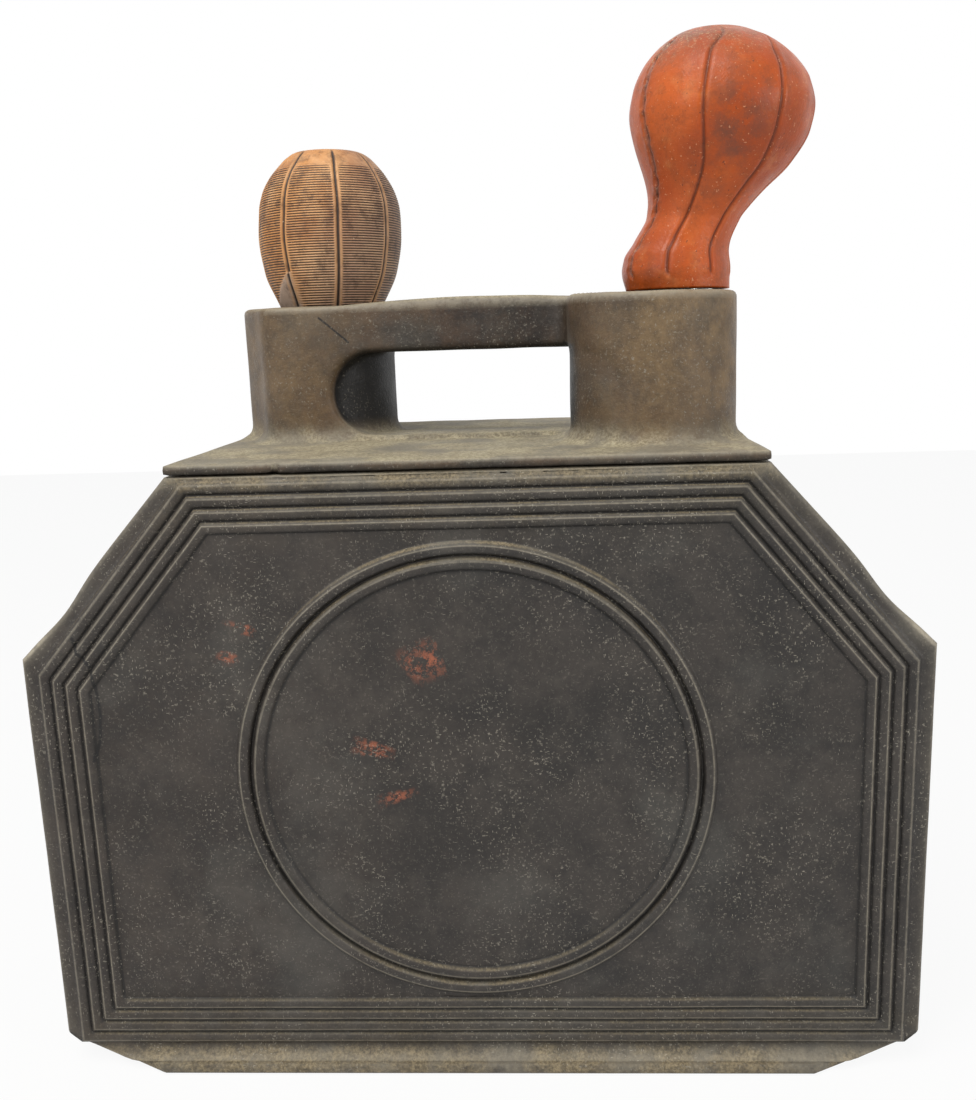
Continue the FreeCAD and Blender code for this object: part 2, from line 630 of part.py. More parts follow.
def make_filler():
    """Ribbed bulb, plug, tube and tapered tip."""
    throat = ("-seat_drop", "filler_seat_radius - bulb_wall", "filler_mouth_drift / 4")
    body = bulb("filler_bulb", FILLER_BULB, "filler_plug_radius + fit_gap", "-filler_neck_drop",
                "filler_grip", throat)
    in_filler(body)

    plug = new_body("filler_plug")
    in_filler(plug)
    hole = "(filler_tube_radius + fit_gap)"
    foot = "(-filler_neck_drop - fit_gap)"
    revolve(plug, "rubber", [
        (hole, foot + " - filler_flange"), ("filler_neck_radius - bulb_wall / 2", foot + " - filler_flange"),
        ("filler_neck_radius", foot), ("filler_plug_radius", foot),
        ("filler_plug_radius", "filler_grip - filler_neck_drop"), (hole, "filler_grip - filler_neck_drop")])

    tip_foot = "(%s + tip_clearance - %s)" % (FLOOR, RIM)
    tube = new_body("filler_tube")
    in_filler(tube)
    tube_foot = tip_foot + " + tip_length - tip_grip"
    revolve(tube, "glass", [
        ("filler_tube_bore", tube_foot), ("filler_tube_radius", tube_foot),
        ("filler_tube_radius", "filler_grip - filler_neck_drop"),
        ("filler_tube_bore", "filler_grip - filler_neck_drop")])

    tip = new_body("filler_tip")
    in_filler(tip)
    revolve(tip, "rubber", [
        ("filler_tube_bore", tip_foot), ("filler_tube_radius", tip_foot),
        ("filler_tube_radius + bulb_wall", tube_foot), ("filler_tube_radius + bulb_wall", tip_foot + " + tip_length"),
        (hole, tip_foot + " + tip_length"), (hole, tube_foot + " - fit_gap"),
        ("filler_tube_bore", tube_foot + " - fit_gap")])


make_tank_shell()
make_base_sole()
make_top_moulding()
make_hydrometer_well()
make_well_pad()
make_filler_seat()
make_hydrometer()
make_float()
make_filler()
doc.recompute()

for thing in doc.Objects:
    if "Invalid" in thing.State or "Error" in thing.State:
        raise RuntimeError("%s failed: %s" % (thing.Name, thing.State))
os.makedirs("parts", exist_ok=True)
for piece in subparts:
    if piece.Shape.isNull() or not piece.Shape.isValid():
        raise RuntimeError(piece.Label + " has no valid shape")
    piece.Shape.exportStep("parts/%s.step" % piece.Label)
    box = piece.Shape.BoundBox
    print("%-20s %9.0f mm3  x %7.1f %7.1f  y %7.1f %7.1f  z %7.1f %7.1f" % (
        piece.Label, piece.Shape.Volume, box.XMin, box.XMax, box.YMin, box.YMax, box.ZMin, box.ZMax))
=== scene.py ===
# Looks of the battery service kit: the rubber case, its towers and handle, and the two squeeze bulbs.
# Shapes are worked out in millimetres, in the row's own frame, and put into meshes in metres.
# X runs to the right along the panelled face, Y to the back, Z up. The photo looks along +Y.
import math
from functools import partial

import bpy
import numpy as np
from mathutils import Matrix, Vector


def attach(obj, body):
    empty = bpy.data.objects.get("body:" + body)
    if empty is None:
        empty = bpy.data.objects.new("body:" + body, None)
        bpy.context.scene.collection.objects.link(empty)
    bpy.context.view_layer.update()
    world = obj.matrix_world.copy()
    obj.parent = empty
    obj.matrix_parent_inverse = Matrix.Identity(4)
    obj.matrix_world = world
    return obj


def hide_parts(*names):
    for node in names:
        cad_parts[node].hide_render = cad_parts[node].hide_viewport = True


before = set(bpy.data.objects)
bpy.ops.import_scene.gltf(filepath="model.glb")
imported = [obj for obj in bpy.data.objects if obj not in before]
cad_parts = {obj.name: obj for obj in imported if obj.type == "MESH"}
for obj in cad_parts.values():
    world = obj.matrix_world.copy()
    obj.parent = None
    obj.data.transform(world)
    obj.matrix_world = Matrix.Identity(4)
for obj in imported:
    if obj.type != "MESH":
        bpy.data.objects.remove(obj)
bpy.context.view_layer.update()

MM = 0.001
SEED = 7

# Sizes of the case, as the solids have them
HALF_WIDTH = 134.5
HALF_DEPTH = 67.5
SHOULDER = 136.0
TOP_HALF = 86.5
SEAM = 190.0
DECK = 193.0
RIM = 237.7
SOLE = 3.5
OVERHANG = 5.0
CORNER_RUN = 22.5
CORNER_RISE = 8.5
COVE_RISE = 5.0
REED_INSET = 6.6
REED_PITCH = 3.93
REED_HALF = 1.86
REED_HEIGHT = 1.4
REED_DROP = 2.7
RING_RADIUS = 70.0
RING_PITCH = 4.7
RING_HEIGHT = 97.3
RING_HALF = 2.1
TOWER_X = 57.4
TOWER_Y = 21.4
TOWER_RADIUS = 26.0
TOWER_BORE = 22.0
SLANT = math.atan((HALF_WIDTH - TOP_HALF) / (SEAM - SHOULDER))


# Small helpers for arrays and meshes

def ramp(value, low, high):
    """0 below low, 1 above high and a smooth step between."""
    share = np.clip((value - low) / (high - low), 0.0, 1.0)
    return share * share * (3.0 - 2.0 * share)


def bump(value, middle, half):
    """A half-round hump: the upper half of an ellipse of that half-width, 0 outside it."""
    share = (value - middle) / half
    return np.sqrt(np.clip(1.0 - share * share, 0.0, None))


def waves(points, size, seed, count=9):
    """Gentle unevenness from -1 to 1: a sum of sine waves about size mm long in seeded directions."""
    draw = np.random.default_rng(seed)
    total = np.zeros(points.shape[:-1])
    for _ in range(count):
        way = draw.normal(size=3)
        way *= 2.0 * math.pi / size / np.linalg.norm(way) * draw.uniform(0.6, 1.5)
        total += np.sin(points @ way + draw.uniform(0.0, 6.28))
    return total / count


def track(heights, values, at):
    """A smooth curve through stations: cubic pieces whose slopes never overshoot the values."""
    heights, values = np.asarray(heights, float), np.asarray(values, float)
    step = np.diff(heights)
    rise = np.diff(values) / step
    slope = np.zeros(len(values))
    same_way = rise[:-1] * rise[1:] > 0
    before, after = 2 * step[1:] + step[:-1], step[1:] + 2 * step[:-1]
    with np.errstate(divide="ignore", invalid="ignore"):
        middle = (before + after) / (before / rise[:-1] + after / rise[1:])
    slope[1:-1] = np.where(same_way, middle, 0.0)
    slope[0], slope[-1] = rise[0], rise[-1]
    index = np.clip(np.searchsorted(heights, at) - 1, 0, len(step) - 1)
    share = (at - heights[index]) / step[index]
    left, right = values[index], values[index + 1]
    left_slope, right_slope = slope[index], slope[index + 1]
    return ((1 + 2 * share) * (1 - share) ** 2 * left + share * (1 - share) ** 2 * step[index] * left_slope
            + share ** 2 * (3 - 2 * share) * right + share ** 2 * (share - 1) * step[index] * right_slope)


def spaced(*stretches):
    """Numbers from stretch to stretch, each (from, to, step), with no number twice."""
    rows = [np.linspace(a, b, max(2, int(round(abs(b - a) / step)) + 1)) for a, b, step in stretches]
    joined = np.concatenate(rows)
    keep = np.concatenate([[True], np.abs(np.diff(joined)) > 1e-6])
    return joined[keep]


def put_mesh(name, points, faces, attributes=None, smooth=True):
    """An object at the origin from points in mm and a list of face index arrays."""
    mesh = bpy.data.meshes.new(name)
    loops = np.concatenate([face.ravel() for face in faces])
    sizes = np.concatenate([np.full(len(face), face.shape[1]) for face in faces])
    starts = np.concatenate([[0], np.cumsum(sizes)[:-1]])
    mesh.vertices.add(len(points))
    mesh.vertices.foreach_set("co", (points * MM).astype(np.float32).ravel())
    mesh.loops.add(len(loops))
    mesh.loops.foreach_set("vertex_index", loops.astype(np.int32))
    mesh.polygons.add(len(sizes))
    mesh.polygons.foreach_set("loop_start", starts.astype(np.int32))
    mesh.polygons.foreach_set("loop_total", sizes.astype(np.int32))
    mesh.polygons.foreach_set("use_smooth", np.full(len(sizes), smooth))
    mesh.update(calc_edges=True)
    mesh.validate()
    for key, values in (attributes or {}).items():
        layer = mesh.attributes.new(key, "FLOAT", "POINT")
        layer.data.foreach_set("value", np.asarray(values, np.float32).ravel())
    piece = bpy.data.objects.new(name, mesh)
    bpy.context.scene.collection.objects.link(piece)
    return piece


def shell_faces(rows, columns):
    """Quads of a closed tube of rows by columns. The two points after the rows are the poles at its ends,
    each joined to its last row by a fan of triangles."""
    across = np.arange(columns)
    following = (across + 1) % columns
    row = np.arange(rows - 1)[:, None] * columns
    quads = np.stack([row + across, row + following, row + columns + following, row + columns + across], -1)
    last, start_pole, end_pole = (rows - 1) * columns, rows * columns, rows * columns + 1
    return [quads.reshape(-1, 4),
            np.stack([np.full(columns, start_pole), following, across], -1),
            np.stack([np.full(columns, end_pole), last + across, last + following], -1)]


def closed_shell(name, rows, attributes):
    """A closed skin through rows of points, each row a loop, closed by a pole at its first and last loop."""
    count, columns = rows.shape[:2]
    points = np.concatenate([rows.reshape(-1, 3), rows[0].mean(0)[None], rows[-1].mean(0)[None]])
    extra = {}
    for key, values in attributes.items():
        extra[key] = np.concatenate([values.ravel(), [values[0].mean(), values[-1].mean()]])
    return put_mesh(name, points, shell_faces(count, columns), extra)


# Camera: the photo's own view, worked out from the case's known corners

CAMERA_PLACE = (25.80, -356.08, 226.80)
CAMERA_AHEAD = (-0.04650, 0.98092, -0.18878)
CAMERA_RIGHT = (0.99865, 0.04131, -0.03135)
CAMERA_UP = (0.02295, 0.18999, 0.98152)
FOCAL_PIXELS = 1031.4
CENTRE_PIXELS = (507.8, 533.0)
PHOTO_WIDTH, PHOTO_HEIGHT = 976, 1100
SENSOR = 36.0


def make_camera():
    data = bpy.data.cameras.new("photo_view")
    data.sensor_width = SENSOR
    data.lens = FOCAL_PIXELS / PHOTO_HEIGHT * SENSOR
    data.shift_x = (PHOTO_WIDTH / 2 - CENTRE_PIXELS[0]) / PHOTO_HEIGHT
    data.shift_y = (CENTRE_PIXELS[1] - PHOTO_HEIGHT / 2) / PHOTO_HEIGHT
    data.clip_start = 0.01
    camera = bpy.data.objects.new("photo_view", data)
    columns = [Vector(CAMERA_RIGHT), Vector(CAMERA_UP), -Vector(CAMERA_AHEAD)]
    turn = Matrix([[column[row] for column in columns] for row in range(3)]).to_4x4()
    camera.matrix_world = Matrix.Translation(Vector(CAMERA_PLACE) * MM) @ turn
    bpy.context.scene.collection.objects.link(camera)
    bpy.context.scene.camera = camera


# Materials

def linear(text):
    """An sRGB hex colour as the linear colour that the shader wants."""
    parts = [int(text[i:i + 2], 16) / 255.0 for i in (1, 3, 5)]
    return [p / 12.92 if p <= 0.04045 else ((p + 0.055) / 1.055) ** 2.4 for p in parts] + [1.0]


def add(tree, kind, inputs=None, **settings):
    """Adds a node. inputs gives each socket a value, a hex colour or another node's output."""
    node = tree.nodes.new("ShaderNode" + kind)
    for key, value in settings.items():
        setattr(node, key, value)
    for key, value in (inputs or {}).items():
        socket = node.inputs[key]
        if isinstance(value, bpy.types.NodeSocket):
            tree.links.new(value, socket)
        else:
            socket.default_value = linear(value) if isinstance(value, str) else value
    return node


def new_material(name):
    material = bpy.data.materials.new(name)
    material.use_nodes = True
    tree = material.node_tree
    tree.nodes.clear()
    output = add(tree, "OutputMaterial")
    shader = add(tree, "BsdfPrincipled")
    tree.links.new(shader.outputs[0], output.inputs[0])
    return material, tree, shader


def place_of(tree):
    return add(tree, "TexCoord").outputs["Object"]


def noise(tree, size_mm, detail=4.0, rough=0.6):
    """Noise whose blotches are about size_mm across."""
    inputs = {"Vector": place_of(tree), "Scale": 1.0 / (size_mm * MM), "Detail": detail, "Roughness": rough}
    return add(tree, "TexNoise", inputs).outputs["Fac"]


def between(tree, value, low, high, to_low=0.0, to_high=1.0):
    """Maps low..high of a value to to_low..to_high, held at both ends."""
    inputs = {"Value": value, "From Min": low, "From Max": high, "To Min": to_low, "To Max": to_high}
    return add(tree, "MapRange", inputs, interpolation_type="SMOOTHSTEP").outputs[0]


def mottle(tree, size_mm, band, levels=(0.0, 1.0), detail=4.0, rough=0.6):
    """Noise of one size: the first level below band, the second above it."""
    return between(tree, noise(tree, size_mm, detail, rough), *band, *levels)


def maths(tree, operation, first, second=0.0):
    return add(tree, "Math", {0: first, 1: second}, operation=operation).outputs[0]


def product(tree, first, second):
    return maths(tree, "MULTIPLY", first, second)


def rough_relief(tree, shader, height, strength, deep):
    """Small bumps on the shader, from a height of noise. deep is in metres."""
    relief = add(tree, "Bump", {"Strength": strength, "Distance": deep, "Height": height})
    tree.links.new(relief.outputs[0], shader.inputs["Normal"])


def blend_colour(tree, share, first, second):
    """Colour that goes from first to second as share goes from 0 to 1."""
    node = tree.nodes.new("ShaderNodeMix")
    node.data_type = "RGBA"
    for socket, value in ((node.inputs[0], share), (node.inputs[6], first), (node.inputs[7], second)):
        if isinstance(value, bpy.types.NodeSocket):
            tree.links.new(value, socket)
        else:
            socket.default_value = linear(value) if isinstance(value, str) else value
    return node.outputs[2]


def attribute(tree, name):
    return add(tree, "Attribute", attribute_name=name).outputs["Fac"]


def facing_up(tree):
    """1 where the surface faces up, 0 where it is upright or faces down."""
    normal = add(tree, "NewGeometry").outputs["Normal"]
    up = add(tree, "SeparateXYZ", {0: normal}).outputs["Z"]
    return between(tree, up, 0.35, 0.95)


# Each kind of lint: how its cells are turned, and how many there are to the metre along each axis
LINT_KINDS = (
    ((0.3, 0.9, 0.2), (210.0, 210.0, 1500.0)), ((0.8, 0.1, 0.7), (1500.0, 230.0, 230.0)),
    ((0.4, 0.7, 1.9), (1400.0, 300.0, 300.0)), ((1.3, 0.5, 0.4), (260.0, 260.0, 1600.0)),
    ((0.2, 1.6, 0.9), (1500.0, 260.0, 260.0)))
LINT_SHARE = 0.5


def lint(tree, turn, cells_a_metre):
    """Short pale fibres: thin ellipses, one in some cells of a turned and stretched cell pattern."""
    where = add(tree, "Mapping", {"Vector": place_of(tree), "Rotation": turn, "Scale": cells_a_metre})
    cells = add(tree, "TexVoronoi", {"Vector": where.outputs[0], "Scale": 1.0, "Randomness": 1.0})
    near = between(tree, cells.outputs["Distance"], 0.115, 0.07)
    lucky = add(tree, "SeparateColor", {0: cells.outputs["Color"]}).outputs[0]
    return product(tree, near, between(tree, lucky, 1.0 - LINT_SHARE, 1.0 - LINT_SHARE + 0.01))


def near_line(tree, points, half_width):
    """1 on a thin line through points (across and up, in mm) on the front, fading to 0 at its half width."""
    flat = (1.0, 0.0, 1.0)
    where = add(tree, "VectorMath", {0: place_of(tree), 1: flat}, operation="MULTIPLY").outputs[0]
    nearest = None
    for (across, up), (next_across, next_up) in zip(points[:-1], points[1:]):
        first, second = Vector((across, 0.0, up)) * MM, Vector((next_across, 0.0, next_up)) * MM
        along = second - first
        offset = add(tree, "VectorMath", {0: where, 1: first}, operation="SUBTRACT").outputs[0]
        share = add(tree, "VectorMath", {0: offset, 1: along / along.length_squared}, operation="DOT_PRODUCT")
        share = add(tree, "Clamp", {"Value": share.outputs["Value"]}).outputs[0]
        foot = add(tree, "VectorMath", {0: tuple(along), "Scale": share}, operation="SCALE").outputs[0]
        gap = add(tree, "VectorMath", {0: offset, 1: foot}, operation="DISTANCE").outputs["Value"]
        nearest = gap if nearest is None else maths(tree, "MINIMUM", nearest, gap)
    depth = add(tree, "SeparateXYZ", {0: place_of(tree)}).outputs["Y"]
    on_front = between(tree, depth, 0.0, -0.004)
    return product(tree, on_front, between(tree, nearest, half_width * MM, 0.3 * half_width * MM))


NEAR_BLACK = "#0E0C0B"


def case_rubber(name, dark, brown, dusts, dust_level, ochre, ochre_level, cracks, fibres):
    """Black moulded rubber, aged brown and dusty. It scatters softly, with a low wide sheen. dusts are the
    two tans of its dust, cracks are pairs of a line and its half width, and fibres is its share of lint."""
    material, tree, shader = new_material(name)
    layer = partial(blend_colour, tree)
    # the rubber itself, in blotches, with a fine grey bloom
    colour = layer(mottle(tree, 32.0, (0.38, 0.62), detail=6.0, rough=0.75), dark, brown)
    colour = layer(mottle(tree, 9.0, (0.45, 0.8), (0.0, 0.45), 6.0, 0.7), colour, "#504A43")
    colour = layer(mottle(tree, 2.6, (0.5, 0.68), (0.0, 0.65), 5.0, 0.8), colour, "#171412")
    colour = layer(mottle(tree, 1.3, (0.54, 0.74), (0.0, 0.4), 4.0, 0.75), colour, "#6C655B")

    # dust, where the mesh says so and on all that faces up
    fine = noise(tree, 0.9, 3.0, 0.7)
    settled = product(tree, attribute(tree, "dust"), mottle(tree, 6.0, (0.3, 0.62), (0.25, 1.0), 6.0, 0.75))
    up = product(tree, facing_up(tree), mottle(tree, 14.0, (0.3, 0.6), (0.6, 1.0), 6.0, 0.7))
    dust = product(tree, maths(tree, "MAXIMUM", settled, up), dust_level)
    tan = layer(between(tree, fine, 0.35, 0.65), *dusts)
    tan = layer(mottle(tree, 18.0, (0.42, 0.62), (0.0, 0.7), 4.0, 0.6), tan, "#7C776C")
    colour = layer(dust, colour, tan)

    # brown stain and a pale haze
    stain = mottle(tree, 11.0, (0.36, 0.68), (0.35 * ochre_level, ochre_level), 7.0, 0.8)
    colour = layer(product(tree, stain, attribute(tree, "stain")), colour, ochre)
    colour = layer(mottle(tree, 38.0, (0.5, 0.72), (0.0, 0.15), 5.0, 0.6), colour, "#77756E")

    # painted shade in grooves, recesses and on all that faces down, pale on rubbed edges with a painted
    # highlight along the bead tops, red where paint was rubbed on
    upward = add(tree, "SeparateXYZ", {0: add(tree, "NewGeometry").outputs["Normal"]}).outputs["Z"]
    # painted shade: what faces down is darkened towards near black, together with the groove attribute's
    # painted shade
    under = product(tree, between(tree, upward, -0.25, -0.8), 0.75)
    colour = layer(maths(tree, "MAXIMUM", attribute(tree, "groove"), under), colour, NEAR_BLACK)
    # pale where the edge attribute says: rubbed edges, and on the case a painted highlight along the bead
    # tops
    worn_and_highlit = product(tree, attribute(tree, "edge"), mottle(tree, 3.0, (0.3, 0.6), (0.45, 1.0), 4.0, 0.7))
    colour = layer(worn_and_highlit, colour, "#A39A88")
    paint = product(tree, attribute(tree, "smudge"), mottle(tree, 2.2, (0.46, 0.56), detail=5.0, rough=0.8))
    colour = layer(paint, colour, "#99583F")
    for line, half_width in cracks:
        colour = layer(product(tree, near_line(tree, line, half_width), 0.9), colour, NEAR_BLACK)

    # specks and lint, in patches
    patches = mottle(tree, 26.0, (0.4, 0.62), (0.25, 1.0), 3.0)
    specks = mottle(tree, 0.8, (0.60, 0.70), (0.0, 0.55), 2.0, 0.6)
    colour = layer(product(tree, specks, patches), colour, "#8F897C")
    threads = lint(tree, *LINT_KINDS[0])
    for kind in LINT_KINDS[1:]:
        threads = maths(tree, "MAXIMUM", threads, lint(tree, *kind))
    colour = layer(product(tree, threads, product(tree, patches, fibres)), colour, "#B5AE9F")
    tree.links.new(colour, shader.inputs["Base Color"])

    sheen = mottle(tree, 12.0, (0.3, 0.7), (0.44, 0.58), 5.0)
    tree.links.new(maths(tree, "ADD", sheen, product(tree, dust, 0.25)), shader.inputs["Roughness"])
    shader.inputs["Specular IOR Level"].default_value = 0.4
    grain = maths(tree, "ADD", fine, product(tree, noise(tree, 5.0, 5.0), 1.5))
    rough_relief(tree, shader, grain, 0.5, 0.0004)
    return material


def red_rubber():
    """Smooth moulded red rubber, dulled and stained by hands. Warm, with a soft broad highlight."""
    material, tree, shader = new_material("aged_red_rubber")
    layer = partial(blend_colour, tree)
    colour = layer(mottle(tree, 24.0, (0.35, 0.68), detail=5.0, rough=0.6), "#A8450F", "#CB5F20")
    colour = layer(mottle(tree, 6.0, (0.42, 0.7), (0.0, 0.6), 6.0, 0.75), colour, "#7A3817")
    colour = layer(mottle(tree, 10.0, (0.52, 0.75), (0.0, 0.5), 5.0, 0.7), colour, "#D47E44")
    stain = mottle(tree, 15.0, (0.40, 0.62), (0.0, 0.8), 6.0, 0.7)
    colour = layer(product(tree, stain, attribute(tree, "stain")), colour, "#5C3C30")
    # painted shade in the moulded grooves, and painted shade with dirt along the torn seam
    colour = layer(attribute(tree, "groove"), colour, "#5A2A18")

    # grime round the crown, as dirt and as pale crumbs
    dirt = mottle(tree, 4.0, (0.42, 0.58), (0.0, 0.75), 6.0, 0.8)
    colour = layer(product(tree, dirt, attribute(tree, "grime")), colour, "#7A6250")
    crumbs = mottle(tree, 0.8, (0.56, 0.64), detail=3.0, rough=0.7)
    colour = layer(product(tree, crumbs, attribute(tree, "grime")), colour, "#C9A680")
    colour = layer(mottle(tree, 0.7, (0.66, 0.74), (0.0, 0.6), 2.0, 0.5), colour, "#DCA27C")
    colour = layer(mottle(tree, 1.0, (0.68, 0.76), (0.0, 0.7), 2.0, 0.5), colour, "#4A2A1E")
    tree.links.new(colour, shader.inputs["Base Color"])

    tree.links.new(mottle(tree, 8.0, (0.3, 0.7), (0.3, 0.48), 5.0), shader.inputs["Roughness"])
    shader.inputs["Specular IOR Level"].default_value = 0.32
    grain = maths(tree, "ADD", noise(tree, 0.8, 3.0), product(tree, noise(tree, 4.0, 5.0), 1.2))
    rough_relief(tree, shader, grain, 0.35, 0.0003)
    return material


def brown_rubber():
    """Ribbed moulded rubber gone brown and grey, with tan along its seams. Matt, with painted shade between
    the ribs and in the seam grooves.
    """
    material, tree, shader = new_material("aged_brown_rubber")
    layer = partial(blend_colour, tree)
    colour = layer(mottle(tree, 16.0, (0.35, 0.65), detail=5.0, rough=0.65), "#B0784A", "#E0AD7A")
    warm = product(tree, attribute(tree, "warm"), mottle(tree, 9.0, (0.3, 0.6), detail=5.0))
    colour = layer(warm, colour, "#CF8C46")
    colour = layer(attribute(tree, "grey"), colour, "#AC9786")
    colour = layer(mottle(tree, 5.0, (0.46, 0.68), (0.0, 0.65), 6.0, 0.75), colour, "#4A2E1E")
    # painted shade in the valleys between the ribs and in the seam grooves
    colour = layer(between(tree, attribute(tree, "groove"), 0.05, 0.75, 0.0, 0.97), colour, "#180D08")
    tan = product(tree, attribute(tree, "edge"), mottle(tree, 3.0, (0.35, 0.6), (0.15, 0.75), 5.0, 0.7))
    colour = layer(tan, colour, "#BC8C5A")
    colour = layer(mottle(tree, 0.7, (0.70, 0.76), (0.0, 0.6), 2.0, 0.5), colour, "#D8C4A4")
    tree.links.new(colour, shader.inputs["Base Color"])
    shader.inputs["Roughness"].default_value = 0.6
    rough_relief(tree, shader, noise(tree, 0.7, 4.0), 0.25, 0.0003)
    return material


def plain_rubber():
    """Soft black moulded rubber of the stoppers and rings: matt, with a bloom of grey."""
    material, tree, shader = new_material("soft_black_rubber")
    colour = blend_colour(tree, mottle(tree, 6.0, (0.35, 0.7), detail=5.0), "#26221F", "#3A3430")
    tree.links.new(colour, shader.inputs["Base Color"])
    tree.links.new(mottle(tree, 3.0, (0.3, 0.7), (0.6, 0.78)), shader.inputs["Roughness"])
    return material


def hard_rubber():
    """Turned hard rubber: black gone slightly brown, satin."""
    material, tree, shader = new_material("turned_hard_rubber")
    colour = blend_colour(tree, mottle(tree, 8.0, (0.35, 0.7), detail=5.0), "#1E1A17", "#33291F")
    tree.links.new(colour, shader.inputs["Base Color"])
    tree.links.new(mottle(tree, 2.0, (0.3, 0.7), (0.3, 0.45)), shader.inputs["Roughness"])
    return material


def drawn_glass():
    """Clear drawn soda glass, with a faint green and a thin haze of dust."""
    material, tree, shader = new_material("drawn_soda_glass")
    shader.inputs["Base Color"].default_value = linear("#EAF2EC")
    shader.inputs["Transmission Weight"].default_value = 1.0
    shader.inputs["IOR"].default_value = 1.5
    tree.links.new(mottle(tree, 6.0, (0.4, 0.7), (0.02, 0.14)), shader.inputs["Roughness"])
    return material


def lead_shot():
    """Lead shot set in dark wax: dull grey grains."""
    material, tree, shader = new_material("lead_shot_in_wax")
    cells = add(tree, "TexVoronoi", {"Vector": place_of(tree), "Scale": 600.0}).outputs["Distance"]
    colour = blend_colour(tree, between(tree, cells, 0.2, 0.5), "#77777A", "#2B2724")
    tree.links.new(colour, shader.inputs["Base Color"])
    shader.inputs["Roughness"].default_value = 0.5
    return material


def scale_paper():
    """Old rolled paper with ruled lines every 2 mm: cream, matt."""
    material, tree, shader = new_material("ruled_scale_paper")
    height = add(tree, "SeparateXYZ", {0: place_of(tree)}).outputs["Z"]
    lines_a_metre = 500.0
    line = maths(tree, "FRACT", product(tree, height, lines_a_metre))
    ink = between(tree, line, 0.16, 0.08)
    tree.links.new(blend_colour(tree, ink, "#D9CBA4", "#3A2E22"), shader.inputs["Base Color"])
    shader.inputs["Roughness"].default_value = 0.85
    return material


# The case: one skin from the middle of its front face, over its edges, to the middle of its back face.
# It is an outer skin only, closed on top under the deck, where the solid is an open tank.

def hexagon(inset, drop):
    """Corners of the case's outline at a steady inset, from bottom left round by the right to the top."""
    side = HALF_WIDTH - inset
    low, high = SOLE + inset, DECK - inset
    shoulder = SHOULDER - inset * math.tan(SLANT / 2) - drop
    top = TOP_HALF - inset / math.cos(SLANT) - (high - SEAM) * math.tan(SLANT)
    right = [(side, low), (side, shoulder), (top, high)]
    return np.array([(-side, low)] + right + [(-top, high), (-side, shoulder)])


def along_outline(corners, counts):
    """Points along the six sides, as many on each as counts says, starting at the first corner."""
    sides = []
    for index, count in enumerate(counts):
        share = np.arange(count)[:, None] / count
        sides.append(corners[index] * (1 - share) + corners[(index + 1) % 6] * share)
    return np.concatenate(sides)


SIDE_COUNTS = (100, 50, 32, 66, 32, 50)
SEAM_GAP = 0.5
REEDS = 4
REED_START, REED_END = 4.5, 20.6
EDGE_ROUNDING = 1.6


def case_edge():
    """The real outline: the top side at the seam, round lower corners, and slanted sides that sag a
    little before they flare out at the shoulders."""
    tiny = 0.01
    corners = hexagon(0.0, 0.0)
    corners[3] = (TOP_HALF, SEAM - SEAM_GAP)
    corners[4] = (-TOP_HALF, SEAM - SEAM_GAP)
    outline = along_outline(corners, SIDE_COUNTS)
    across, up = outline[:, 0].copy(), outline[:, 1].copy()
    past = np.clip((np.abs(across) - (HALF_WIDTH - CORNER_RUN)) / CORNER_RUN, 0, 1)
    on_side = (np.abs(across) > HALF_WIDTH - tiny) & (up < SHOULDER)
    bottom = up < SOLE + tiny
    up = np.where(bottom, SOLE + CORNER_RISE * past ** 2.2, up)
    share = (up - SOLE) / (SHOULDER - SOLE)
    up = np.where(on_side & ~bottom, SOLE + CORNER_RISE + share * (SHOULDER - SOLE - CORNER_RISE), up)
    slanted = (up > SHOULDER + tiny) & (up < SEAM - SEAM_GAP - tiny)
    share = (up - SHOULDER) / (SEAM - SHOULDER)
    sag = 1.5 * np.exp(-((share - 0.27) / 0.16) ** 2) * slanted
    outward = np.stack([np.sign(across) * math.cos(SLANT), np.full(len(across), math.sin(SLANT))], -1)
    return np.stack([across, up], -1) - outward * sag[:, None]


def ring_relief(radius):
    """Height of the round panel's two beads, the outer one broader."""
    outer = 1.7 * bump(radius, RING_RADIUS, RING_HALF)
    inner = 1.5 * bump(radius, RING_RADIUS - RING_PITCH, RING_HALF * 0.92)
    return max(outer, inner) - 0.5 * bump(radius, RING_RADIUS - RING_PITCH / 2, 0.7)


def reed_relief(inset):
    """Height of the four half-round reeds, each a broad bead with a sharp groove between."""
    return max(REED_HEIGHT * bump(inset, REED_INSET + index * REED_PITCH, REED_HALF)
               for index in range(REEDS))


def bead_marks(place, middles, half, outward):
    """A painted highlight along each bead's outer flank and painted shade in the groove at its foot on the
    inner side.
    """
    line, dark = 0.0, 0.0
    for middle in middles:
        line = max(line, math.exp(-((place - middle - outward * 0.42 * half) / 0.2) ** 2))
        dark = max(dark, math.exp(-((place - middle + outward * 1.0 * half) / 0.42) ** 2))
    return line, dark


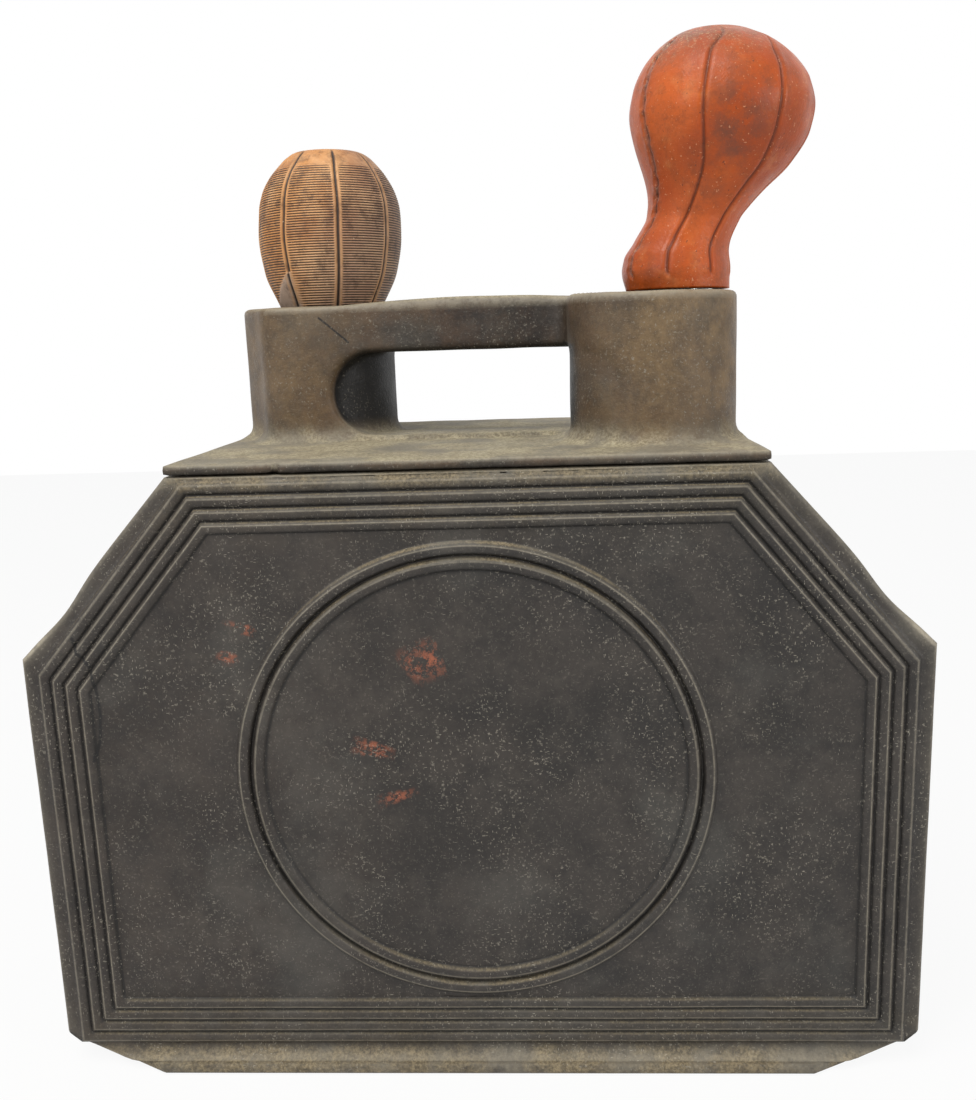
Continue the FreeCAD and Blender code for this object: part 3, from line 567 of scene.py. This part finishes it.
def case_rows():
    """The rows of the front half as (across, up), with each row's relief and its marks: rubbed edges, a
    painted highlight along the bead tops and painted shade in their grooves.
    """
    inner_line = along_outline(hexagon(REED_END, REED_DROP), SIDE_COUNTS)
    angle = np.arctan2(inner_line[:, 1] - RING_HEIGHT, inner_line[:, 0])
    spoke = np.stack([np.cos(angle), np.sin(angle)], -1)
    centre = np.array([0.0, RING_HEIGHT])
    rows, relief, edge, painted_crest_highlight, groove = [], [], [], [], []

    def put(row, height, at_edge=0.0, marks=(0.0, 0.0)):
        rows.append(row)
        relief.append(np.full(len(angle), height))
        edge.append(at_edge)
        painted_crest_highlight.append(marks[0])
        groove.append(marks[1])

    for radius in spaced((3.0, 60.0, 7.0), (60.0, 74.0, 0.32)):
        beads = (RING_RADIUS, RING_RADIUS - RING_PITCH)
        put(centre + spoke * radius, ring_relief(radius), 0.0, bead_marks(radius, beads, RING_HALF, 1.0))
    circle = rows[-1]
    for share in np.linspace(0.0, 1.0, 10)[1:]:
        put(circle * (1 - share) + inner_line * share, 0.0)
    reeds = [REED_INSET + index * REED_PITCH for index in range(REEDS)]
    for inset in spaced((REED_END, REED_START, 0.3))[1:]:
        line = along_outline(hexagon(inset, REED_DROP * min(1.0, inset / REED_INSET)), SIDE_COUNTS)
        put(line, reed_relief(inset), 0.0, bead_marks(inset, reeds, REED_HALF, -1.0))
    outline = case_edge()
    start = rows[-1]
    for share in (0.2, 0.4):
        put(start * (1 - share) + outline * share, 0.0, share * 0.2)
    toward = start - outline
    toward /= np.linalg.norm(toward, axis=1)[:, None]
    for turn in np.radians([0, 25, 50, 72, 90]):
        put(outline + toward * EDGE_ROUNDING * (1 - math.sin(turn)), -EDGE_ROUNDING * (1 - math.cos(turn)),
            0.3 + 0.7 * math.sin(2 * turn))
    # the first holds a painted highlight along the bead tops, the second painted shade in their grooves
    marks = [np.array(values)[:, None] for values in (painted_crest_highlight, groove)]
    return np.array(rows), np.array(relief), np.array(edge), 0.6 * marks[0], 0.85 * marks[1]


def cove(across, up):
    """How far the foot flares out of the face: a hollow curve that fades at the rounded corners."""
    share = np.clip((SOLE + COVE_RISE - up) / COVE_RISE, 0, 1)
    fade = 1.0 - ramp(np.abs(across), HALF_WIDTH - CORNER_RUN - 4.0, HALF_WIDTH - 1.0)
    return OVERHANG * (1 - np.sqrt(np.clip(1 - share ** 2, 0, None))) * fade


# Marks of age: lines of (across, up), and patches of rubbed-on paint as (across, up, half-widths)
SHOULDER_CRACK = ((-117.5, 142.7), (-116.8, 138.4), (-113.3, 134.3), (-112.8, 130.9), (-112.0, 118.6),
                  (-112.9, 110.7), (-115.1, 104.3))
HANDLE_CREASE = ((-50.9, 234.1), (-47.4, 231.1), (-41.7, 226.0))
SMUDGES = ((-19.5, 133.6, 4.6, 2.4), (-11.5, 134.0, 3.0, 1.8), (-31.0, 106.5, 3.0, 2.2),
           (-24.4, 90.3, 1.2, 2.4), (-67.3, 144.8, 2.4, 1.6), (-71.0, 135.2, 2.0, 1.6))


def smudges(points):
    """Where paint was rubbed onto the front face, as soft ellipses."""
    total = np.zeros(points.shape[:-1])
    for across, up, half_across, half_up in SMUDGES:
        far = ((points[..., 0] - across) / half_across) ** 2 + ((points[..., 2] - up) / half_up) ** 2
        total = np.maximum(total, np.clip(1.6 - far, 0, 1))
    return total * (points[..., 1] < 0)


def make_case(material):
    """The case's skin: the front half's rows, a band over the edges, and the same rows again as the back."""
    plan, relief, edge, painted_crest_highlight, groove = case_rows()
    across, up = plan[..., 0], plan[..., 1]
    flat = np.stack([across, np.zeros_like(across), up], -1)
    uneven = 0.25 * waves(flat, 60.0, SEED) + 0.10 * waves(flat, 14.0, SEED + 1)
    out = relief + uneven + cove(across, up)
    front = np.stack([across, -HALF_DEPTH - out, up], -1)
    back = np.stack([across, HALF_DEPTH + out, up], -1)[::-1]
    last = front[-1]
    between_rows = [last * (1 - share) + back[0] * share for share in np.linspace(0, 1, 12)[1:-1]]
    rows = np.concatenate([front, np.array(between_rows), back])
    count = len(between_rows)
    dust = (np.clip(cove(across, up) / 1.2, 0, 1) + 0.8 * ramp(up, 184.0, 189.0)
            + 0.1 * ramp(up, 165.0, 180.0) + 0.12 * ramp(up, 30.0, 8.0))
    shoulder_worn = 0.9 * np.exp(-((up - SHOULDER - 3.0) / 5.0) ** 2) * (np.abs(across) > HALF_WIDTH - 12)
    # edge is rubbed pale on the rounded edges and shoulders, plus the painted highlight along the bead tops;
    # groove is painted shade in the bead grooves
    wear_and_crest_highlight = edge[:, None] * (0.35 + shoulder_worn) + painted_crest_highlight
    attributes = {}
    for key, values in (("dust", dust), ("edge", wear_and_crest_highlight), ("groove", np.broadcast_to(groove, across.shape))):
        values = np.clip(values, 0, 1)
        middle = np.repeat(values[-1][None], count, 0)
        attributes[key] = np.concatenate([values, middle, values[::-1]])
    attributes["smudge"] = smudges(rows)
    attributes["stain"] = 0.35 * ramp(rows[..., 0], 60.0, -134.0)
    piece = closed_shell("case_skin", rows, attributes)
    piece.data.materials.append(material)
    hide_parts("tank_shell")
    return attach(piece, "case")


SOLE_HALF = 112.0
SOLE_CLIP = 10.0
SOLE_SIDE_POINTS = 24


def make_sole(material):
    """The sole plate: a flat plan with clipped corners, its upright edge rounded top and bottom."""
    half, edge = SOLE_HALF, HALF_DEPTH + OVERHANG
    clipped = half - SOLE_CLIP
    corners = np.array([(-clipped, -edge), (clipped, -edge), (half, -HALF_DEPTH), (half, HALF_DEPTH),
                        (clipped, edge), (-clipped, edge), (-half, HALF_DEPTH), (-half, -HALF_DEPTH)])
    loop = []
    for index in range(8):
        share = np.arange(SOLE_SIDE_POINTS)[:, None] / SOLE_SIDE_POINTS
        loop.append(corners[index] * (1 - share) + corners[(index + 1) % 8] * share)
    loop = np.concatenate(loop)
    rows = []
    edge_rows = ((60.0, 0.0), (1.4, 0.0), (0.5, 0.25), (0.0, 0.9), (0.0, 2.6),
                 (0.3, SOLE - 0.1), (1.0, SOLE + 0.02))
    for inset, height in edge_rows:
        shrink = np.stack([loop[:, 0] * (1 - inset / half), loop[:, 1] * (1 - inset / edge)], -1)
        rows.append(np.concatenate([shrink, np.full((len(loop), 1), height)], 1))
    rows.append(np.concatenate([loop * 0.4, np.full((len(loop), 1), SOLE + 0.02)], 1))
    rows = np.array(rows)
    dust = np.full(rows.shape[:2], 1.0)
    zero = np.zeros(rows.shape[:2])
    piece = closed_shell("sole_skin", rows, {
        "dust": dust, "edge": zero, "smudge": zero, "groove": zero, "stain": zero + 0.3})
    piece.data.materials.append(material)
    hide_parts("base_sole")
    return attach(piece, "case")


# The top moulding: deck, towers and handle as one distance field, so that every joint is filleted

def soft_union(first, second, radius):
    """The nearer of two distances, with a fillet of about that radius where they meet."""
    near = np.clip(0.5 + 0.5 * (second - first) / radius, 0, 1)
    return second * (1 - near) + first * near - radius * near * (1 - near)


def soft_cut(solid, hole, radius):
    return -soft_union(-solid, hole, radius)


def block(points, middle, half, rounding):
    """Distance to a box with rounded edges."""
    past = np.abs(points - np.array(middle)) - (np.array(half) - rounding)
    outside = np.linalg.norm(np.maximum(past, 0), axis=-1)
    return outside + np.minimum(past.max(-1), 0) - rounding


HANDLE_HALF_DEPTH = 10.0
HANDLE_REACH = 71.0
HANDLE_CROWN = 2.0
PLUG_HALF_WIDTH = 77.0
PLUG_HALF_DEPTH = 60.8
WINDOW_LOW = DECK + 1.9
WINDOW_HIGH = DECK + 29.1
WINDOW_HALF = 48.0
WINDOW_ROUND = 13.8
TOWER_EDGE = 1.3
TOWER_ROOT = DECK - 8.0
NOTCH_ACROSS = -54.2


def upright(points, plan, low, high, rounding):
    """Distance to a solid that is a plan's distance (already drawn in by rounding) between two heights."""
    ends = np.abs(points[..., 2] - (low + high) / 2) - ((high - low) / 2 - rounding)
    outside = np.hypot(np.maximum(plan, 0), np.maximum(ends, 0))
    return outside + np.minimum(np.maximum(plan, ends), 0) - rounding


def plan_box(points, half_across, half_back, corner):
    """Distance in plan to a rectangle with rounded corners."""
    across = np.abs(points[..., 0]) - (half_across - corner)
    back = np.abs(points[..., 1]) - (half_back - corner)
    outside = np.hypot(np.maximum(across, 0), np.maximum(back, 0))
    return outside + np.minimum(np.maximum(across, back), 0) - corner


def top_distance(points):
    """Distance to the surface of the top moulding, negative inside. Web and towers are joined in plan
    first, so that the web's ends run smoothly round into the towers."""
    across, back, height = points[..., 0], points[..., 1], points[..., 2]
    deck = block(points, (0, 0, (SEAM + DECK) / 2), (TOP_HALF, HALF_DEPTH, (DECK - SEAM) / 2), 0.9)
    plug = block(points, (0, 0, SEAM - 2.0), (PLUG_HALF_WIDTH, PLUG_HALF_DEPTH, 3.0), 0.6)
    towers = np.minimum(*[np.hypot(across - side * TOWER_X, back + side * TOWER_Y) for side in (-1, 1)])
    ring = soft_union(plan_box(points, HANDLE_REACH, HANDLE_HALF_DEPTH, 6.0), towers - TOWER_RADIUS, 11.0)
    crown = HANDLE_CROWN * np.clip(1 - (across / 46.0) ** 2, 0, None)
    high = RIM + crown * (towers > TOWER_RADIUS - 2.0)
    soft = 1.3 + 1.0 * ramp(np.abs(across), 50.0, 30.0)
    tall = upright(points, ring + soft, TOWER_ROOT, high, soft)
    nearest = np.clip(across, -WINDOW_HALF + WINDOW_ROUND, WINDOW_HALF - WINDOW_ROUND)
    window = np.hypot(across - nearest, height - (WINDOW_LOW + WINDOW_HIGH) / 2) - WINDOW_ROUND
    tall = soft_cut(tall, window, 1.0 + 1.8 * ramp(height, WINDOW_LOW + 3.0, WINDOW_LOW + 10.0))
    pillars = upright(points, towers - TOWER_RADIUS + TOWER_EDGE, TOWER_ROOT, RIM, TOWER_EDGE)
    tall = soft_union(tall, pillars, 2.0)
    tall = tall + np.clip(DECK - 2.0 - height, 0, None) * 2.0
    past_web = np.hypot(np.clip(np.abs(across) - 36.0, 0, None), np.clip(np.abs(back) - 8.0, 0, None))
    foot = 0.8 + 4.4 * ramp(past_web, 0.0, 9.0)
    solid = np.minimum(soft_union(tall, deck, foot), plug)
    solid = solid + 0.12 * waves(points, 22.0, SEED + 5, 5)
    notch = block(points, (NOTCH_ACROSS, -HALF_DEPTH, DECK - 1.5), (0.9, 1.3, 3.0), 0.3)
    return soft_cut(np.maximum(solid, -notch), towers - TOWER_BORE, 1.6)


def iso_surface(distance, low, high, step):
    """Points and quads of the surface where a distance field is zero, one point in each cell that the
    surface crosses, pulled onto the surface along the field's own slope."""
    axes = [np.arange(a, b + step, step) for a, b in zip(low, high)]
    grid = np.stack(np.meshgrid(*axes, indexing="ij"), -1)
    field = distance(grid)
    cells = tuple(n - 1 for n in field.shape)
    total = np.zeros(cells + (3,))
    count = np.zeros(cells)
    crossings = []
    for axis in range(3):
        here = [slice(None)] * 3
        there = [slice(None)] * 3
        here[axis], there[axis] = slice(0, -1), slice(1, None)
        first, second = field[tuple(here)], field[tuple(there)]
        index = np.argwhere((first < 0) != (second < 0))
        a, b = first[tuple(index.T)], second[tuple(index.T)]
        spot = index.astype(float)
        spot[:, axis] += a / (a - b)
        others = [k for k in range(3) if k != axis]
        corners = []
        for back in ((0, 0), (1, 0), (1, 1), (0, 1)):
            cell = index.copy()
            cell[:, others[0]] -= back[0]
            cell[:, others[1]] -= back[1]
            good = np.all((cell >= 0) & (cell < np.array(cells)), axis=1)
            np.add.at(total, tuple(cell[good].T), spot[good])
            np.add.at(count, tuple(cell[good].T), 1)
            corners.append((cell, good))
        crossings.append((axis, a < 0, corners))
    used = count > 0
    number = -np.ones(cells, int)
    number[used] = np.arange(used.sum())
    points = total[used] / count[used][:, None] * step + np.array(low)
    for _ in range(4):
        value = distance(points)
        slope = np.stack([(distance(points + shift) - distance(points - shift)) / 0.1
                          for shift in 0.05 * np.eye(3)], -1)
        length = np.maximum((slope ** 2).sum(-1), 0.25)
        points = points - slope * np.clip(value / length, -0.4, 0.4)[:, None]
    quads = []
    for axis, starts_inside, corners in crossings:
        good = np.all([inside_grid for _, inside_grid in corners], axis=0)
        limit = np.array(cells) - 1
        index = np.stack([number[tuple(np.clip(cell, 0, limit).T)] for cell, _ in corners], -1)
        turned_over = starts_inside if axis != 1 else ~starts_inside
        index = np.where(turned_over[:, None], index, index[:, ::-1])
        quads.append(index[good])
    return points, np.concatenate(quads)


TOP_CELL, QUICK_TOP_CELL = 1.15, 1.6
TOP_BOX = ((-89.0, -70.0, 183.0), (89.0, 70.0, 242.0))


def make_top(material):
    """The top moulding's skin, with where it is dusty, rubbed or stained, and where shade is painted in."""
    points, quads = iso_surface(top_distance, *TOP_BOX, TOP_CELL)
    across, back, height = points[:, 0], points[:, 1], points[:, 2]
    near_foot = 1.0 - ramp(height, DECK + 0.5, DECK + 9.0)
    dust = np.clip(0.9 * near_foot * (height > SEAM + 1.5) + 0.15 * waves(points, 30.0, SEED + 8), 0, 1)
    # painted shade, put into groove below: under the deck's overhang, in the grip window's corners against
    # the towers and down the tower bores
    under = 1 - ramp(height, SEAM + 0.05, SEAM + 0.7)
    rim = ramp(height, RIM - 2.2, RIM - 0.4) * (np.abs(back) > 9)
    lip = (height > DECK - 1.2) & (height < DECK + 0.2) & (
        (np.abs(across) > TOP_HALF - 1.3) | (np.abs(back) > HALF_DEPTH - 1.3))
    stain = ramp(np.abs(across), 18.0, 62.0) * ramp(height, 190.0, 204.0) * np.where(across > 0, 1.0, 0.7)
    toward = -back * np.sign(across)
    niche = ramp(np.abs(across), 64.0, 54.0) * ramp(toward, -9.0, -5.0) * (height < RIM - 14)
    niche = niche * ramp(toward, 34.0, 26.0) * ramp(height, DECK + 1.0, DECK + 8.0) * (np.abs(across) > 28)
    inside = (np.hypot(np.abs(across) - TOWER_X, toward - TOWER_Y) < TOWER_BORE + 0.6) & (height > SEAM - 8)
    front = (np.abs(back) > HALF_DEPTH - 0.8) | (np.abs(across) > TOP_HALF - 0.8)
    dust = np.where(front, 0.12, dust)
    groove = np.clip(0.8 * under + niche + 0.5 * inside, 0, 1)
    piece = put_mesh("top_skin", points, [quads], {
        "dust": dust, "edge": 0.55 * rim + 0.5 * lip, "smudge": height * 0, "groove": groove, "stain": stain})
    piece.data.materials.append(material)
    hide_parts("top_moulding")
    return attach(piece, "case")


# The two squeeze bulbs

def seam_columns(seams, narrow, wide):
    """Angles round a bulb, close together near each of its seams and further apart between them."""
    following = list(seams[1:]) + [seams[0] + 360.0]
    return np.concatenate([
        spaced((here - narrow, here + narrow, narrow / 6), (here + narrow, after - narrow, wide))[:-1]
        for here, after in zip(seams, following)])


def nearest_seam(angles, seams):
    """Degrees from each angle to its nearest seam, with sign, and that seam's number."""
    apart = (angles[:, None] - np.array(seams)[None] + 180.0) % 360.0 - 180.0
    number = np.abs(apart).argmin(1)
    return apart[np.arange(len(angles)), number], number


def bulb_rows(stations, heights, depth):
    """Radius and centre's place across at each height, as smooth curves through a bulb's stations."""
    table = np.array(stations)
    return (track(table[:, 0], table[:, 1], heights), track(table[:, 0], table[:, 2], heights),
            np.full(len(heights), depth))


def loop_at(turn, middle, radius, height):
    """A level circle of points round middle (across, back)."""
    return np.stack([middle[0] + radius * np.sin(turn), middle[1] - radius * np.cos(turn),
                     np.full(len(turn), height)], -1)


def spread(values, before):
    """Carries a bulb's values on over the rows of its bore, which come before, and over its crown."""
    return np.concatenate([np.repeat(values[:1], before, 0), values, values[-1:]])


# Stations of a bulb: height, radius and the centre's place across
RED_STATIONS = (
    (238.9, 16.0, 65.7), (244.9, 16.7, 65.0), (248.8, 16.1, 65.1), (253.7, 14.8, 66.9),
    (259.6, 14.4, 70.1), (263.5, 15.6, 72.1), (267.4, 17.5, 74.0), (274.9, 22.3, 77.1),
    (284.1, 26.4, 78.6), (291.0, 27.6, 78.7), (297.8, 26.3, 78.5), (303.7, 23.1, 77.9),
    (308.6, 18.4, 77.3), (311.7, 13.6, 76.6), (313.4, 9.8, 76.3), (313.9, 7.0, 76.2))
RED_SEAMS = (-63.0, -19.0, 29.0, 72.0, 116.0, 161.0, 206.0, 251.0)
TORN_SEAM = 0
RED_BORE = ((11.6, 238.9), (11.6, 250.0), (8.0, 250.6), (8.0, 262.0), (2.0, 262.5))
RED_BORE_MIDDLE = (65.4, -TOWER_Y)
RED_CROWN_MIDDLE = (76.2, -TOWER_Y)


def make_red_bulb(material):
    """The smooth bulb: revolved about an axis that drifts to the right, with eight moulded grooves."""
    heights = spaced((238.9, 268.0, 0.55), (268.0, 308.0, 0.75), (308.0, 313.9, 0.3))
    radius, centre, depth = bulb_rows(RED_STATIONS, heights, -TOWER_Y)
    angles = seam_columns(RED_SEAMS, 4.2, 2.4)
    off, number = nearest_seam(angles, RED_SEAMS)
    lean = track([238.9, 270.0, 285.0, 303.0, 310.0, 313.9], [1.3, 1.2, 0.0, 2.0, 5.5, 4.0], heights)
    sideways = np.clip(lean / radius, -0.6, 0.6)[:, None] * np.cos(np.radians(angles))
    turn = np.radians(angles) + np.arcsin(sideways)
    arc = np.radians(off)[None] * radius[:, None]
    reach = ramp(heights, 242.0, 244.0) * (1 - ramp(heights, 309.0, 313.5))
    groove = np.exp(-(arc / 0.5) ** 2) * reach[:, None]
    around = np.stack([np.sin(turn) * radius[:, None], -np.cos(turn) * radius[:, None],
                       heights[:, None] + 0 * turn], -1)
    torn = (number[None] == TORN_SEAM) * np.exp(-(arc / 1.6) ** 2) * reach[:, None]
    rough = torn * np.clip(waves(around, 4.0, SEED + 20) + 0.6 * waves(around, 1.8, SEED + 21), -1, 1)
    lips = 0.55 * np.exp(-((np.abs(arc) - 1.7) / 0.9) ** 2) * reach[:, None] * 0.35
    size = (radius[:, None] - 0.62 * groove + lips
            + 0.9 * rough + 0.30 * waves(around, 30.0, SEED + 22) * reach[:, None])
    rows = np.stack([centre[:, None] + size * np.sin(turn), depth[:, None] - size * np.cos(turn),
                     heights[:, None] + 0 * turn], -1)
    bore = [loop_at(turn[0], RED_BORE_MIDDLE, inner, height) for inner, height in RED_BORE]
    crown = loop_at(turn[-1], RED_CROWN_MIDDLE, 3.5, 313.92)
    rows = np.concatenate([np.array(bore)[::-1], rows, crown[None]])
    patch = np.exp(-((turn - 0.05) / 0.34) ** 2 - ((heights[:, None] - 283.0) / 17.0) ** 2)
    stain = np.clip(0.15 + 0.85 * patch + 0.5 * torn, 0, 1)
    grime = ramp(heights, 299.0, 312.0)[:, None] * (0.6 - 0.4 * np.sin(turn)) + 0.25 * torn
    # groove: painted shade in the moulded grooves, and painted shade with dirt along the torn seam
    marks = {"stain": stain, "grime": np.clip(grime, 0, 1),
             "groove": np.clip(groove * 0.8 + 0.8 * np.abs(rough), 0, 1)}
    marks = {key: spread(values, len(bore)) for key, values in marks.items()}
    piece = closed_shell("red_bulb", rows, marks)
    piece.data.materials.append(material)
    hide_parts("hydrometer_bulb")
    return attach(piece, "hydrometer")


BROWN_STATIONS = (
    (212.7, 9.6, -57.4), (225.2, 13.2, -55.8), (237.5, 17.4, -52.8), (241.0, 19.1, -52.5),
    (250.6, 23.2, -52.1), (262.4, 24.9, -51.8), (271.8, 24.4, -51.4), (277.1, 23.1, -51.4),
    (282.1, 20.5, -51.3), (287.0, 16.6, -51.0), (289.5, 13.9, -51.0), (290.7, 11.6, -51.2),
    (291.0, 9.4, -51.2))
BROWN_SEAMS = (-27.0, 17.5, 61.5, 106.0, 151.0, 196.0, 241.0, 287.0)
RIB_PITCH = 0.83
BROWN_BORE = ((6.3, 212.7), (6.3, 231.0), (2.0, 231.5))
BROWN_BORE_MIDDLE = (-TOWER_X, TOWER_Y)
BROWN_CROWN_MIDDLE = (-51.2, TOWER_Y)


def make_ribbed_bulb(material):
    """The ribbed bulb: fine level ribs between eight seams with raised edges."""
    heights = spaced((212.7, 236.0, 1.6), (236.0, 286.4, 0.166), (286.4, 291.0, 0.4))
    radius, centre, depth = bulb_rows(BROWN_STATIONS, heights, TOWER_Y)
    angles = seam_columns(BROWN_SEAMS, 4.2, 3.3)
    off = nearest_seam(angles, BROWN_SEAMS)[0]
    turn = np.radians(angles)
    arc = np.radians(off)[None] * radius[:, None]
    ribbed = ramp(heights, 236.0, 238.0) * (1 - ramp(heights, 283.6, 286.0))
    rib = 0.5 + 0.5 * np.cos(2 * math.pi * heights / RIB_PITCH)
    clear = ramp(np.abs(arc), 1.0, 1.7)
    around = np.stack([np.sin(turn)[None] * radius[:, None], -np.cos(turn)[None] * radius[:, None],
                       heights[:, None] + 0 * turn[None]], -1)
    down = np.clip((250.0 - heights) / 12.0, 0, 1)[:, None]
    apart = (angles[None] + 26.0 + 18.0 * down + 180.0) % 360.0 - 180.0
    fold = ramp(2.0 + 22.0 * down - np.abs(apart), -2.0, 3.0) * (down > 0)
    rib_height = 0.32 * ribbed[:, None] * (rib[:, None] - 0.5) * clear * (1 - fold)
    groove = np.exp(-(arc / 0.5) ** 2)
    ridge = np.exp(-((np.abs(arc) - 1.0) / 0.36) ** 2)
    reach = (1 - ramp(heights, 288.5, 291.5))[:, None]
    size = (radius[:, None] + rib_height - 0.6 * groove * reach + 0.22 * ridge * reach
            + 0.25 * waves(around, 28.0, SEED + 30) * reach + 0.9 * fold)
    rows = np.stack([centre[:, None] + size * np.sin(turn), depth[:, None] - size * np.cos(turn),
                     heights[:, None] + 0 * turn[None]], -1)
    bore = [loop_at(turn, BROWN_BORE_MIDDLE, inner, height) for inner, height in BROWN_BORE]
    crown = loop_at(turn, BROWN_CROWN_MIDDLE, 4.0, 291.05)
    rows = np.concatenate([np.array(bore)[::-1], rows, crown[None]])
    left = np.clip(-np.sin(turn)[None] * 0.8 + 0.2 + (heights[:, None] - 262.0) / 90.0, 0, 1)
    right = np.clip(np.sin(turn)[None] * 1.2 - 0.2 - (heights[:, None] - 275.0) / 40.0, 0, 1)
    # valley and groove are painted shade between the ribs and in the seam grooves
    valley = np.clip(1.15 - 1.6 * rib, 0, 1)[:, None] * ribbed[:, None] * clear * (1 - fold)
    marks = {"warm": left, "grey": np.clip(0.55 * right + 0.9 * fold, 0, 1),
             "groove": np.clip(0.9 * groove * reach + 0.85 * valley, 0, 1),
             "edge": np.clip(ridge * reach + 4 * fold * (1 - fold), 0, 1)}
    marks = {key: spread(values, len(bore)) for key, values in marks.items()}
    piece = closed_shell("ribbed_bulb", rows, marks)
    piece.data.materials.append(material)
    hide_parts("filler_bulb")
    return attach(piece, "filler")


# Pieces whose solids are already right: they keep the CAD's shape and get their real materials

def dress(frame_nodes, materials):
    """Gives each kept solid its material."""
    kinds = {
        "hydrometer_well": "hard", "hydrometer_nozzle": "hard", "well_pad": "soft", "filler_seat": "soft",
        "lower_stopper": "soft", "lower_float_bumper": "soft", "upper_float_bumper": "soft",
        "filler_plug": "soft", "filler_tip": "soft", "glass_barrel": "glass", "float_glass": "glass",
        "filler_tube": "glass", "float_ballast": "lead", "float_scale": "paper"}
    for name, kind in kinds.items():
        node = frame_nodes[name]
        node.data.materials.clear()
        node.data.materials.append(materials[kind])
        for polygon in node.data.polygons:
            polygon.material_index = 0


# Floor, light and background

def seen_ray(tree):
    """1 for rays from the camera and for those that mirrors and glass send on, 0 for light's own rays."""
    path = add(tree, "LightPath")
    seen = maths(tree, "MAXIMUM", path.outputs["Is Camera Ray"], path.outputs["Is Glossy Ray"])
    return maths(tree, "MAXIMUM", seen, path.outputs["Is Transmission Ray"])


FLOOR_HALF = 1500.0


def make_room():
    """A white world and floor as the camera sees them, and a dim grey sky as the light."""
    world = bpy.data.worlds.new("plain_studio")
    bpy.context.scene.world = world
    world.use_nodes = True
    tree = world.node_tree
    tree.nodes.clear()
    output = add(tree, "OutputWorld")
    light = add(tree, "Background", {"Color": "#E9EDF2", "Strength": 0.40})
    white = add(tree, "Background", {"Color": "#FFFFFF", "Strength": 1.0})
    mix = add(tree, "MixShader", {0: seen_ray(tree), 1: light.outputs[0], 2: white.outputs[0]})
    tree.links.new(mix.outputs[0], output.inputs[0])
    floor, tree, shader = new_material("pale_floor")
    shader.inputs["Base Color"].default_value = linear("#E8E7E4")
    shader.inputs["Roughness"].default_value = 0.9
    glow = add(tree, "Emission", {"Color": "#FFFFFF", "Strength": 1.0})
    seen = product(tree, seen_ray(tree), 0.92)
    mix = add(tree, "MixShader", {0: seen, 1: shader.outputs[0], 2: glow.outputs[0]})
    tree.links.new(mix.outputs[0], tree.nodes["Material Output"].inputs[0])
    corners = FLOOR_HALF * np.array([(-1.0, -1.0, 0.0), (1.0, -1.0, 0.0), (1.0, 1.0, 0.0), (-1.0, 1.0, 0.0)])
    piece = put_mesh("floor", corners, [np.array([[0, 1, 2, 3]])], smooth=False)
    piece.data.materials.append(floor)


def make_lamp(name, place, aim, size, watts, colour):
    data = bpy.data.lights.new(name, "AREA")
    data.shape = "DISK"
    data.size = size * MM
    data.energy = watts
    data.color = linear(colour)[:3]
    lamp = bpy.data.objects.new(name, data)
    lamp.location = Vector(place) * MM
    lamp.rotation_mode = "QUATERNION"
    lamp.rotation_quaternion = (Vector(aim) - Vector(place)).to_track_quat("-Z", "Y")
    bpy.context.scene.collection.objects.link(lamp)


make_camera()
make_room()
make_lamp("window_above", (-250.0, -500.0, 1100.0), (0.0, 0.0, 150.0), 700.0, 9.0, "#FFFDF8")
make_lamp("front_left", (-900.0, -900.0, 500.0), (0.0, 0.0, 130.0), 600.0, 2.4, "#FAFCFF")
make_lamp("front_right", (1000.0, -700.0, 420.0), (0.0, 0.0, 150.0), 500.0, 3.8, "#FFFDFA")

case_material = case_rubber(
    "aged_black_rubber", "#221F1D", "#35302C", ("#6A604C", "#A39374"), 0.85, "#5E4A38", 0.3,
    [(SHOULDER_CRACK, 0.75)], 0.75)
top_material = case_rubber(
    "aged_black_rubber_worn_brown", "#1F1712", "#463425", ("#877D64", "#B9AE92"), 1.0, "#836B4B", 0.85,
    [(HANDLE_CREASE, 0.5)], 0.3)
make_case(case_material)
make_sole(case_material)
make_top(top_material)
make_red_bulb(red_rubber())
make_ribbed_bulb(brown_rubber())
dress(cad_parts, {"hard": hard_rubber(), "soft": plain_rubber(), "glass": drawn_glass(),
                       "lead": lead_shot(), "paper": scale_paper()})

bpy.context.scene.view_settings.view_transform = "Standard"
